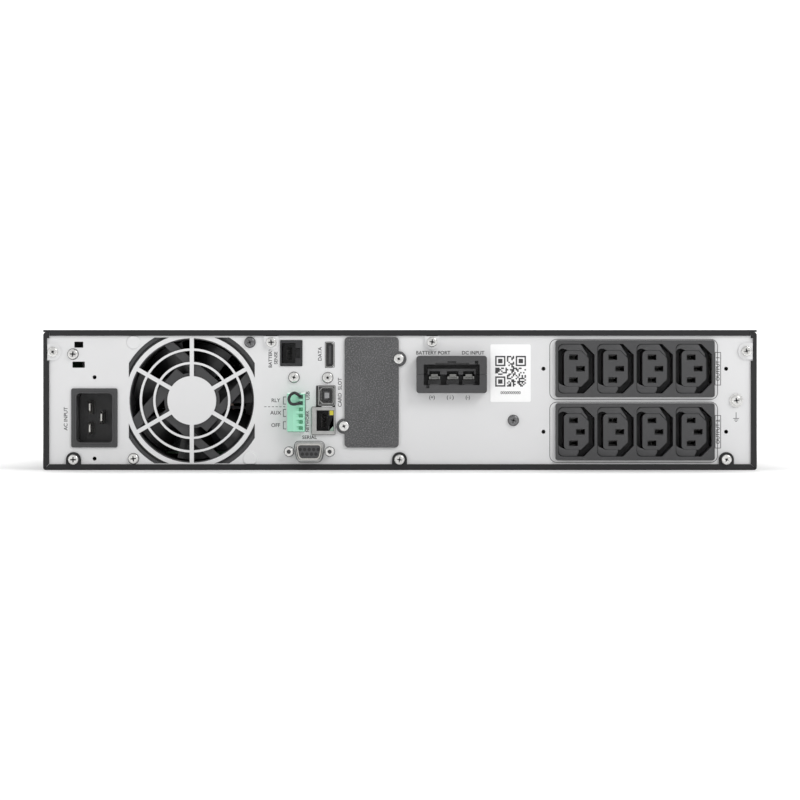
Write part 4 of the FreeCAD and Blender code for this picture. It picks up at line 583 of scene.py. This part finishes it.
# %% Ledges
def drawn_in(outline, amount):
    """Outline moved inwards by an amount along the mean of the two edge normals at each point."""
    edges = np.roll(outline, -1, axis=0) - outline
    area = np.sum(outline[:, 0] * np.roll(outline[:, 1], -1) - np.roll(outline[:, 0], -1) * outline[:, 1])
    normals = np.stack([-edges[:, 1], edges[:, 0]], axis=1) * np.sign(area)
    normals /= np.linalg.norm(normals, axis=1, keepdims=True)
    mean = normals + np.roll(normals, 1, axis=0)
    mean /= np.maximum(np.linalg.norm(mean, axis=1, keepdims=True), 0.6)
    return outline + mean * amount


def slab_surface(outline, front, back, edge):
    """Rings of the outline: drawn in at the front, full just behind it and at the back, with caps."""
    outline = np.asarray(outline, float)
    n = len(outline)
    rings = [(drawn_in(outline, edge), front), (drawn_in(outline, edge * 0.3), front + edge * 0.3),
             (outline, front + edge), (outline, back)]
    points = np.concatenate([np.stack([ring[:, 0], np.full(n, y), ring[:, 1]], axis=1)
                             for ring, y in rings]) * MM
    faces = grid_faces(len(rings), n, around=True).tolist()
    faces += [list(range(n)), [(len(rings) - 1) * n + i for i in range(n)][::-1]]
    return points, faces


upper_ledge = [(-11.15, 10.6), (-11.15, 12.2), (-10.6, 13.6), (-9.6, 14.6), (-8.2, 15.15), (2.4, 15.15),
               (3.6, 13.8), (4.6, 12.0), (5.8, 10.4), (6.6, 9.2), (6.9, 7.9), (6.2, 7.85), (3.1, 11.05),
               (-5.3, 11.05), (-6.6, 11.9), (-8.2, 12.3), (-9.8, 11.9)]
lower_ledge = [(-11.15, -7.8), (-10.4, -8.9), (-9.2, -9.7), (-7.4, -10.3), (-5.6, -11.05), (1.3, -11.05),
               (1.6, -12.2), (1.0, -13.6), (0.2, -15.15), (-8.0, -15.15), (-9.6, -14.5), (-10.7, -13.5),
               (-11.15, -12.0)]
outlets = 4
outlet_pitch = 24.05
ledge_count = 0
for level in ("upper", "lower"):
    low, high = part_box("outlet_block_" + level)
    middle = (low + high) / 2 / MM
    face = low.y / MM
    parts = []
    for i in range(outlets):
        centre = np.array([middle.x + (i - (outlets - 1) / 2) * outlet_pitch, middle.z])
        for outline in (upper_ledge, lower_ledge):
            parts.append(slab_surface(np.array(outline) + centre, face + 0.45, face + 6.0, 0.5))
    ledges = close_mesh(mesh_object(f"outlet_ledges_{level}", *joined(parts)))
    fit(ledges, "case", "socket_black")
    ledge_count += len(parts)
print("ledges:", ledge_count)


# %% [markdown]
# ## Contacts in the network and sensing sockets
# Eight spring wires lean into each modular socket, one millimetre apart.  Each is a flat strip
# carried along a line that leans away from the mouth.

# %% Spring wires
def strip(start, end, width, thick):
    """Bar of a rectangular section between two points of a horizontal plane; width is along Z."""
    start, end = np.asarray(start, float), np.asarray(end, float)
    run = (end - start)[:2] / np.linalg.norm((end - start)[:2])
    side = np.array([-run[1], run[0], 0]) * thick / 2
    up = np.array([0, 0, width / 2])
    ring = [side + up, -side + up, -side - up, side - up]
    points = np.array([p + r for p in (start, end) for r in ring]) * MM
    faces = grid_faces(2, 4, around=True).tolist() + [[3, 2, 1, 0], [4, 5, 6, 7]]
    return points, faces


wire_pitch = 1.02
for name, node, left_in, reach, finish in (("network_springs", "network_insert", 5.4, 2.4, "contact_tin"),
                                           ("sense_springs", "sense_jack", 3.6, 3.0, "contact_dark")):
    low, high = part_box(node)
    x0, y0, z0 = low.x / MM + left_in, low.y / MM, (low.z + high.z) / 2 / MM
    heights = [z0 + (i - 3.5) * wire_pitch for i in range(8)]
    parts = [strip((x0, y0 + 3.0, z), (x0 + reach, y0 + 7.0, z), 0.7, 0.3) for z in heights]
    springs = close_mesh(mesh_object(name, *joined(parts)))
    fit(springs, "case", "contact_tin", finish)

# %% [markdown]
# ## Jumper wire
# A short insulated wire bridges the two upper poles of the six-pole plug.  It comes straight out of one
# entry, loops up and round to the left, and goes into the next.  A NURBS curve with the route's points as
# its control points gives the soft loop of a stiff wire.

# %% Jumper
plug_low, plug_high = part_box("relay_plug")
plug_face = plug_low.y
wire_radius = 0.9 * MM
pole_pitch = 3.81
entry_x = (plug_low.x + plug_high.x) / 2 + 3.15 * MM
entry_low = (plug_low.z + plug_high.z) / 2 + 1.5 * pole_pitch * MM
entry_high = entry_low + pole_pitch * MM
out = plug_face - 6.0 * MM
route = [(entry_x, plug_face + 2.8 * MM, entry_high), (entry_x, out + 0.6 * MM, entry_high),
         (entry_x - 3.9 * MM, out, entry_high + 3.2 * MM),
         (entry_x - 7.7 * MM, out - 0.2 * MM, entry_high - 0.4 * MM),
         (entry_x - 6.0 * MM, out, entry_low - 1.2 * MM), (entry_x, out + 0.4 * MM, entry_low),
         (entry_x, plug_face + 2.8 * MM, entry_low)]


def make_jumper(points, radius):
    """Open NURBS curve of order 3 through its first and last points, with a round bevel."""
    curve = bpy.data.curves.new("jumper_line", "CURVE")
    curve.dimensions = "3D"
    spline = curve.splines.new("NURBS")
    spline.points.add(len(points) - 1)
    for point, position in zip(spline.points, points):
        point.co = (*position, 1)
    spline.order_u = 3
    spline.use_endpoint_u = True
    spline.resolution_u = 12
    curve.bevel_depth = radius
    curve.bevel_resolution = 5
    curve.use_fill_caps = True
    piece = bpy.data.objects.new("jumper_line", curve)
    bpy.context.scene.collection.objects.link(piece)
    return piece


jumper = make_jumper(route, wire_radius)
fit(jumper, "relay_plug", "wire_black")
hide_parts("jumper_wire")


# %% [markdown]
# ## Screen printing
# Ink is a film a few hundredths of a millimetre thick on the sheet.  Words are set with a plain font, turned
# into meshes, and stood on the sheet; lines are closed bands.  All words are generic names of the sockets.
# The thin dark band that hugs each port shell is no print but painted shade in the cut-out, in the same film.

# %% Ink shapes
film = 0.03 * MM


def tile(x0, x1, z0, z1, face=panel_face, thick=film):
    """Flat box standing on a face that looks towards -Y; sizes in millimetres."""
    return slab_surface([(x0, z0), (x1, z0), (x1, z1), (x0, z1)], (face - thick) / MM, face / MM, 0.0)


def rounded_outline(x0, x1, z0, z1, radius, steps=7):
    """Rectangle with four quarter circles, in millimetres, anticlockwise from the lower right."""
    a = np.linspace(0, math.pi / 2, steps)
    corners = [(x1 - radius, z0 + radius, -math.pi / 2), (x1 - radius, z1 - radius, 0),
               (x0 + radius, z1 - radius, math.pi / 2), (x0 + radius, z0 + radius, math.pi)]
    return np.concatenate([np.stack([x + radius * np.cos(a + turn), z + radius * np.sin(a + turn)], axis=1)
                           for x, z, turn in corners])


def band(outer, inner, face=panel_face, thick=film):
    """Closed band between two outlines with as many points each."""
    front, back = (face - thick) / MM, face / MM
    n = len(outer)
    rings = [(outer, front), (outer, back), (inner, back), (inner, front)]
    points = np.concatenate([np.stack([r[:, 0], np.full(n, y), r[:, 1]], axis=1) for r, y in rings]) * MM
    return points, (grid_faces(5, n, around=True) % (4 * n)).tolist()


def frame_line(x0, x1, z0, z1, radius, line=0.36, face=panel_face):
    """Thin rounded frame."""
    return band(rounded_outline(x0, x1, z0, z1, radius),
                rounded_outline(x0 + line, x1 - line, z0 + line, z1 - line, max(0.05, radius - line)), face)


def words(text, x, z, height, upright=False, face=panel_face, thick=film):
    """Mesh of a line of text centred at (x, z) millimetres; upright text reads from bottom to top."""
    curve = bpy.data.curves.new("words", "FONT")
    curve.body = text
    curve.size = height * 1.38 * MM
    curve.align_x = "CENTER"
    curve.align_y = "CENTER"
    curve.extrude = thick / 2
    curve.offset = 0.05 * MM
    curve.resolution_u = 3
    holder = bpy.data.objects.new("words", curve)
    bpy.context.scene.collection.objects.link(holder)
    bpy.context.view_layer.update()
    mesh = bpy.data.meshes.new_from_object(holder)
    flat = np.array([v.co[:] for v in mesh.vertices]).reshape(-1, 3)
    faces = [list(p.vertices) for p in mesh.polygons]
    bpy.data.objects.remove(holder)
    bpy.data.curves.remove(curve)
    bpy.data.meshes.remove(mesh)
    u, v = (-flat[:, 1], flat[:, 0]) if upright else (flat[:, 0], flat[:, 1])
    return np.stack([x * MM + u, face - thick / 2 - flat[:, 2], z * MM + v], axis=1), faces


def edges_mm(node):
    """Low X, high X, low Z and high Z of a node, in millimetres."""
    low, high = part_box(node)
    return low.x / MM, high.x / MM, low.z / MM, high.z / MM


def islands(node):
    """Boxes of the connected solids of a node, in millimetres."""
    work = bmesh.new()
    work.from_mesh(frame["nodes"][node].data)
    bmesh.ops.remove_doubles(work, verts=work.verts, dist=model_merge)
    left, boxes = set(work.verts), []
    while left:
        reach, group = [left.pop()], []
        while reach:
            vertex = reach.pop()
            group.append(vertex.co[:])
            near = [edge.other_vert(vertex) for edge in vertex.link_edges]
            reach += [v for v in near if v in left]
            left.difference_update(near)
        points = np.array(group) / MM
        boxes.append((points.min(axis=0), points.max(axis=0)))
    work.free()
    return sorted(boxes, key=lambda box: tuple(np.round(box[0], 2)))


print_and_shade_marks = []
for node, name, below, above in (("outlet_block_upper", "OUTPUT 1", 1.5, 0.7),
                                 ("outlet_block_lower", "OUTPUT 2", 1.4, 0.8)):
    x0, x1, z0, z1 = edges_mm(node)
    middle = (z0 + z1) / 2
    print_and_shade_marks.append(frame_line(x0 - 3.6, x1 + 2.2, z0 - below, z1 + above, 4.3))
    print_and_shade_marks.append(frame_line(x1 + 0.35, x1 + 4.1, middle - 10.2, middle + 10.2, 0.3))
    print_and_shade_marks.append(words(name, x1 + 2.25, middle, 2.3, upright=True))

x0, x1, z0, z1 = edges_mm("inlet_housing")
print_and_shade_marks.append(words("AC INPUT", x0 - 3.4, (z0 + z1) / 2 - 0.5, 2.3, upright=True))
x0, x1, z0, z1 = edges_mm("sense_jack")
print_and_shade_marks.append(words("BATTERY", x0 - 6.0, (z0 + z1) / 2 - 3.0, 2.1, upright=True))
print_and_shade_marks.append(words("SENSE", x0 - 2.6, (z0 + z1) / 2 - 3.0, 2.1, upright=True))
x0, x1, z0, z1 = edges_mm("network_insert")
print_and_shade_marks.append(words("NETWORK", x0 - 3.2, (z0 + z1) / 2 - 0.4, 1.9, upright=True))
print_and_shade_marks.append(words("USB", x0 - 3.0, z1 + 7.6, 2.2, upright=True))
print_and_shade_marks.append(words("DATA", x0 + 4.4, z1 + 33.2, 2.3, upright=True))
x0, x1, z0, z1 = edges_mm("serial_shell")
print_and_shade_marks.append(words("SERIAL", (x0 + x1) / 2, z1 + 2.5, 2.2))
x0, x1, z0, z1 = edges_mm("slot_cover")
print_and_shade_marks.append(words("CARD  SLOT", x0 + 2.2, (z0 + z1) / 2, 2.3, upright=True))
x0, x1, z0, z1 = edges_mm("port_lower")
x0, x1, z1, z2 = edges_mm("port_upper")
print_and_shade_marks.append(words("BATTERY PORT", x0 + 10.3, z2 + 1.9, 2.2))
print_and_shade_marks.append(words("DC INPUT", x0 + 34.8, z2 + 1.9, 2.2))
for mark, offset in (("(+)", 9.6), ("(-)", 31.6)):
    print_and_shade_marks.append(words(mark, x0 + offset, z0 - 2.6, 2.2))

# the relay plug's three contact pairs, each named beside its bracket
x0, x1, z0, z1 = edges_mm("relay_plug")
for i, name in enumerate(("RLY", "AUX", "OFF")):
    middle = z1 - 4.4 - i * 2 * pole_pitch
    print_and_shade_marks.append(tile(x0 - 2.9, x0 - 2.5, middle - 2.4, middle + 2.4))
    print_and_shade_marks += [tile(x0 - 2.5, x0 - 1.0, z, z + 0.4) for z in (middle - 2.4, middle + 2.0)]
    print_and_shade_marks.append(words(name, x0 - 7.4, middle, 2.3))
dash_pitch = 2.3
for i in range(6):
    print_and_shade_marks.append(tile(x0 - 14.4 + i * dash_pitch, x0 - 13.0 + i * dash_pitch, z1 - 8.4, z1 - 8.05))


def earth_sign(x, z, size):
    """Stem on three shortening bars; size is the half width of the longest bar, in millimetres."""
    stem = tile(x - 0.11 * size, x + 0.11 * size, z, z + 2.0 * size)
    bars = [tile(x - size * (1 - 0.33 * i), x + size * (1 - 0.33 * i),
                 z - (0.5 * i + 0.2) * size, z - 0.5 * i * size) for i in range(3)]
    return [stem] + bars


x0, x1, z0, z1 = edges_mm("earth_washer")
print_and_shade_marks += earth_sign((x0 + x1) / 2, z0 - 6.6, 1.8)
x0, x1, z0, z1 = edges_mm("port_lower")
print_and_shade_marks.append(words("(   )", x0 + 20.8, z0 - 2.6, 2.2))
print_and_shade_marks += earth_sign(x0 + 20.8, z0 - 2.8, 0.7)
# Dark band right round each port shell: painted shade in the cut-out round the shell, not print.
for low, high in islands("port_shells"):
    print_and_shade_marks.append(frame_line(low[0] - 0.3, high[0] + 0.3, low[2] - 0.3, high[2] + 0.3, 0.6, 0.3))

print_and_shade_film = close_mesh(mesh_object("panel_print_and_painted_shade", *joined(print_and_shade_marks), smooth=False), fine_merge)
fit(print_and_shade_film, "case", "panel_paint", "ink_and_shade_grey")
print("printing faces:", len(print_and_shade_film.data.polygons))

# %% [markdown]
# ## Sticker
# The white sticker carries a square field of modules.  Three nested squares sit in its corners and the
# rest is seeded noise, so it looks like a two-dimensional code and says nothing.

# %% Code field
label_low, label_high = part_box("code_label")
label_face = label_low.y
label_x = (label_low.x + label_high.x) / 2 / MM
modules, module = 21, 0.9
field_x = label_x - modules * module / 2
field_z = label_low.z / MM + 9.4


def code_field(seed=7):
    """Grid of modules: nested squares where max(|i - c|, |j - c|) is 3, 1 or 0 in three corners."""
    random = np.random.default_rng(seed)
    grid = random.random((modules, modules)) < 0.5
    i, j = np.meshgrid(np.arange(modules), np.arange(modules), indexing="ij")
    for ci, cj in ((3, modules - 4), (modules - 4, modules - 4), (3, 3)):
        ring = np.maximum(np.abs(i - ci), np.abs(j - cj))
        grid = np.where(ring <= 4, (ring == 3) | (ring <= 1), grid)
    return grid


code = [tile(field_x + i * module, field_x + (i + 1) * module,
             field_z + j * module, field_z + (j + 1) * module, label_face)
        for i, j in zip(*np.nonzero(code_field()))]
code_piece = mesh_object("label_code", *joined(code), smooth=False)
fit(code_piece, "case", "label_white", "ink_and_shade_grey")
digits = words("0000000000", label_x, label_low.z / MM + 5.6, 1.8, face=label_face)
label_words = mesh_object("label_words", *digits, smooth=False)
fit(close_mesh(label_words, fine_merge), "case", "label_white", "ink_and_shade_grey")

# %% [markdown]
# ## Screw recesses
# Each pan head has a cross recess that holds shadow.  The heads are found as the separate islands of the
# screws' merged mesh; a dark cross of painted shade goes into each recess, and a thin dark ring of painted
# shadow lies on the sheet round the foot of each head.


# %% Recesses
def head_ring(x, z, radius, face, width=0.35, thick=0.05 * MM, steps=40):
    """Flat closed ring round a head."""
    a = np.linspace(0, 2 * math.pi, steps, endpoint=False)
    ring = np.stack([np.cos(a), np.sin(a)], axis=1)
    return band(ring * (radius + width) + (x, z), ring * radius + (x, z), face, thick)


heads = [(low, high) for low, high in islands("rear_screws") if high[0] - low[0] > 4]
recess_shade_marks, rings = [], []
for low, high in heads:
    x, z = (low[0] + high[0]) / 2, (low[2] + high[2]) / 2
    radius = (high[0] - low[0]) / 2
    for quarter in (0, math.pi / 2):
        along = np.array([math.cos(quarter), math.sin(quarter)])
        side = np.array([-along[1], along[0]])
        long, wide = radius * 0.52, 0.42
        outline = [along * long + side * wide, -along * long + side * wide, -along * long - side * wide,
                   along * long - side * wide]
        recess_shade_marks.append(slab_surface(np.array(outline) + (x, z), low[1] + 0.32, low[1] + 0.62, 0.0))
    rings.append(head_ring(x, z, radius, panel_face))
# Dark crosses laid in the recesses: painted shade.
recess_shade_piece = close_mesh(mesh_object("screw_recess_painted_shade", *joined(recess_shade_marks), smooth=False), fine_merge)
fit(recess_shade_piece, "case", "screw_zinc", "ink_and_shade_grey")
# Dark rings on the sheet round the heads: painted shadow.
head_shadow_piece = close_mesh(mesh_object("screw_head_painted_shadows", *joined(rings), smooth=False), fine_merge)
fit(head_shadow_piece, "case", "panel_paint", "ink_and_shade_grey")
print("screw heads:", len(heads))

# %% [markdown]
# The serial socket's two jack screws are threaded tubes: a bright hexagon round a bore.  The bore's shade is
# painted as a dark disc in its mouth, and a thin dark ring of painted shadow lies on the sheet round each
# hexagon.  The socket's flange throws a narrow shadow on the sheet all round, painted as a dark band between
# two outlines.  The square socket above the network socket has a pale tongue, and the shade of its black
# mouth is painted as a black band round the tongue.

# %% Painted shade in bores and mouth, painted shadows round jack screws and flange
jack_screw_shade_marks = []
for low, high in islands("jack_screws"):
    x, z = (low[0] + high[0]) / 2, (low[2] + high[2]) / 2
    jack_screw_shade_marks.append(head_ring(x, z, 0.05, (low[1] + 0.02) * MM, 1.15))
    jack_screw_shade_marks.append(head_ring(x, z, 2.9, panel_face, 0.3))
# Dark discs on the bores and dark rings round the hexagons: painted shade and painted shadow.
jack_screw_shade_piece = close_mesh(mesh_object("jack_screw_painted_shade", *joined(jack_screw_shade_marks), smooth=False), fine_merge)
fit(jack_screw_shade_piece, "case", "screw_zinc", "ink_and_shade_grey")


def leaned(outline, taper):
    """Outline narrowed downwards: x is scaled by 1 - taper (top - z) / height about its middle."""
    x, z = outline[:, 0], outline[:, 1]
    middle, top, height = (x.min() + x.max()) / 2, z.max(), np.ptp(z)
    return np.stack([middle + (x - middle) * (1 - taper * (top - z) / height), z], axis=1)


x0, x1, z0, z1 = edges_mm("serial_insert")
insert_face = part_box("serial_insert")[0].y
# The rim is real, but its tin finish is brighter than the shell's own: a painted highlight along the rim.
rim = band(leaned(rounded_outline(x0 - 0.1, x1 + 0.1, z0 - 0.1, z1 + 0.1, 2.4), 0.2),
           leaned(rounded_outline(x0 + 0.7, x1 - 0.7, z0 + 0.7, z1 - 0.7, 2.0), 0.2), insert_face, 0.3 * MM)
rim_piece = close_mesh(mesh_object("serial_rim", *rim), fine_merge)
fit(rim_piece, "case", "port_shell", "contact_tin")
# Dark band on the sheet round the flange: painted shadow.
flange_shadow_band = band(leaned(rounded_outline(x0 - 1.9, x1 + 1.9, z0 - 1.9, z1 + 1.9, 3.4), 0.2),
           leaned(rounded_outline(x0 - 1.5, x1 + 1.5, z0 - 1.5, z1 + 1.5, 3.0), 0.2))
flange_shadow_piece = close_mesh(mesh_object("serial_flange_painted_shadow", *flange_shadow_band, smooth=False), fine_merge)
fit(flange_shadow_piece, "case", "panel_paint", "ink_and_shade_grey")

pitch_x, pitch_z = 2.77, 2.84
hole_places = [((x0 + x1) / 2 + (i - 2) * pitch_x, (z0 + z1) / 2 + pitch_z / 2) for i in range(5)]
hole_places += [((x0 + x1) / 2 + (i - 1.5) * pitch_x, (z0 + z1) / 2 - pitch_z / 2) for i in range(4)]
# Black discs on the insert's contact holes: painted shade in the holes.
hole_shade_discs = [head_ring(x, z, 0.03, insert_face, 1.0, 0.02 * MM) for x, z in hole_places]
hole_shade_piece = close_mesh(mesh_object("serial_hole_painted_shade", *joined(hole_shade_discs), smooth=False), fine_merge)
fit(hole_shade_piece, "case", "serial_insert", "blade_black")

low, high = next(box for box in islands("port_tongues") if 3 < (box[1] - box[0])[0] < 5)
tongue_tile = tile(low[0] + 0.3, high[0] - 0.3, low[2] + 0.9, high[2] - 0.9, low[1] * MM)
tongue = mesh_object("square_tongue", *tongue_tile, smooth=False)
fit(tongue, "case", "jack_plastic", "tongue_grey")
# Black band round each tongue at its front face: painted shade in the socket's mouth.
mouth_shade_bands = []
for low, high in islands("port_tongues"):
    if (high[0] - low[0]) > 5:
        continue
    mouth_shade_bands.append(band(rounded_outline(low[0] - 1.2, high[0] + 1.2, low[2] - 1.3, high[2] + 1.3, 0.8),
                       rounded_outline(low[0] - 0.02, high[0] + 0.02, low[2] - 0.02, high[2] + 0.02, 0.1),
                       low[1] * MM, 0.02 * MM))
mouth_shade_piece = close_mesh(mesh_object("port_mouth_painted_shade", *joined(mouth_shade_bands), smooth=False), fine_merge)
fit(mouth_shade_piece, "case", "jack_plastic", "blade_black")

# %% [markdown]
# ## Front of the unit
# The bezel's buttons carry raised signs, the display shows bars of load and charge, and the air grilles
# of the bezel are already in the model.  Signs are the plain shapes that such keys have: a ring with a
# stroke, two triangles and a corner arrow.


# %% Display and key signs
def face_plus_y(points, faces, front):
    """Turn shapes made for a face towards -Y round to a face towards +Y at the given depth."""
    points = np.array(points)
    points[:, 1] = 2 * front - points[:, 1]
    return points, [face[::-1] for face in faces]


sign_film = 0.02 * MM
for node in ("power_button", "down_button", "up_button", "enter_button"):
    low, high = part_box(node)
    x, z, front = (low.x + high.x) / 2 / MM, (low.z + high.z) / 2 / MM, high.y
    if node == "power_button":
        shape = [head_ring(x, z, 1.5, front, 0.4, sign_film),
                 tile(x - 0.2, x + 0.2, z + 0.6, z + 2.3, front, sign_film)]
    elif node == "enter_button":
        shape = [tile(x - 1.7, x + 1.7, z - 0.2, z + 0.2, front, sign_film),
                 tile(x - 1.7, x - 1.3, z + 0.2, z + 1.6, front, sign_film)]
    else:
        up = 1 if node == "up_button" else -1
        outline = [(x - 1.6, z - 0.9 * up), (x + 1.6, z - 0.9 * up), (x, z + 1.5 * up)]
        shape = [slab_surface(outline, front / MM - 0.02, front / MM, 0.0)]
    sign = face_plus_y(*joined(shape), front)
    piece = close_mesh(mesh_object(node + "_sign", *sign, smooth=False), fine_merge)
    fit(piece, body_of[node], "button_plastic", "ink_pale")

low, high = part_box("display_module")
screen_x, screen_z = (low.x + high.x) / 2 / MM, (low.z + high.z) / 2 / MM
screen_front = high.y
screen = [tile(screen_x + side * 14 - 5, screen_x + side * 14 + 5, screen_z - 9 + i * 4,
               screen_z - 6.6 + i * 4, screen_front, 0.05 * MM) for side in (-1, 1) for i in range(4)]
screen.append(frame_line(screen_x - 4.5, screen_x + 4.5, screen_z - 8.5, screen_z + 7, 1.0, 0.5,
                         screen_front))
segments = face_plus_y(*joined(screen), screen_front)
screen_piece = close_mesh(mesh_object("display_segments", *segments, smooth=False), fine_merge)
fit(screen_piece, "case", "display_glass", "ink_pale")

# %% [markdown]
# ## Inside
# The coils of the wound parts and the fins are in the model; what a hand would notice on the drawer are the
# coarse knurls of the thumb screws, cut as many shallow ridges round each head.


# %% Knurls
def knurled_head(low, high, ridges=28):
    """Ring of ridges: radius R + 0.12 cos(n a), carried along the head and closed at both ends."""
    a = np.linspace(0, 2 * math.pi, ridges * 6, endpoint=False)
    radius = (high[0] - low[0]) / 2 + 0.02
    outline = np.stack([np.cos(a), np.sin(a)], axis=1) * (radius + 0.12 * np.cos(ridges * a))[:, None]
    centre = ((low[0] + high[0]) / 2, (low[2] + high[2]) / 2)
    return slab_surface(outline + centre, high[1] - 4.6, high[1] - 1.0, 0.2)


knurled_heads = [knurled_head(low, high) for low, high in islands("thumb_screws")]
knurls = close_mesh(mesh_object("thumb_screw_knurls", *joined(knurled_heads)))
fit(knurls, "battery_tray", "screw_zinc")

# %% The last lines
bpy.context.view_layer.update()
low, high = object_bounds()
print("visual box in mm:", [round(v / MM, 1) for v in (*low, *high)])
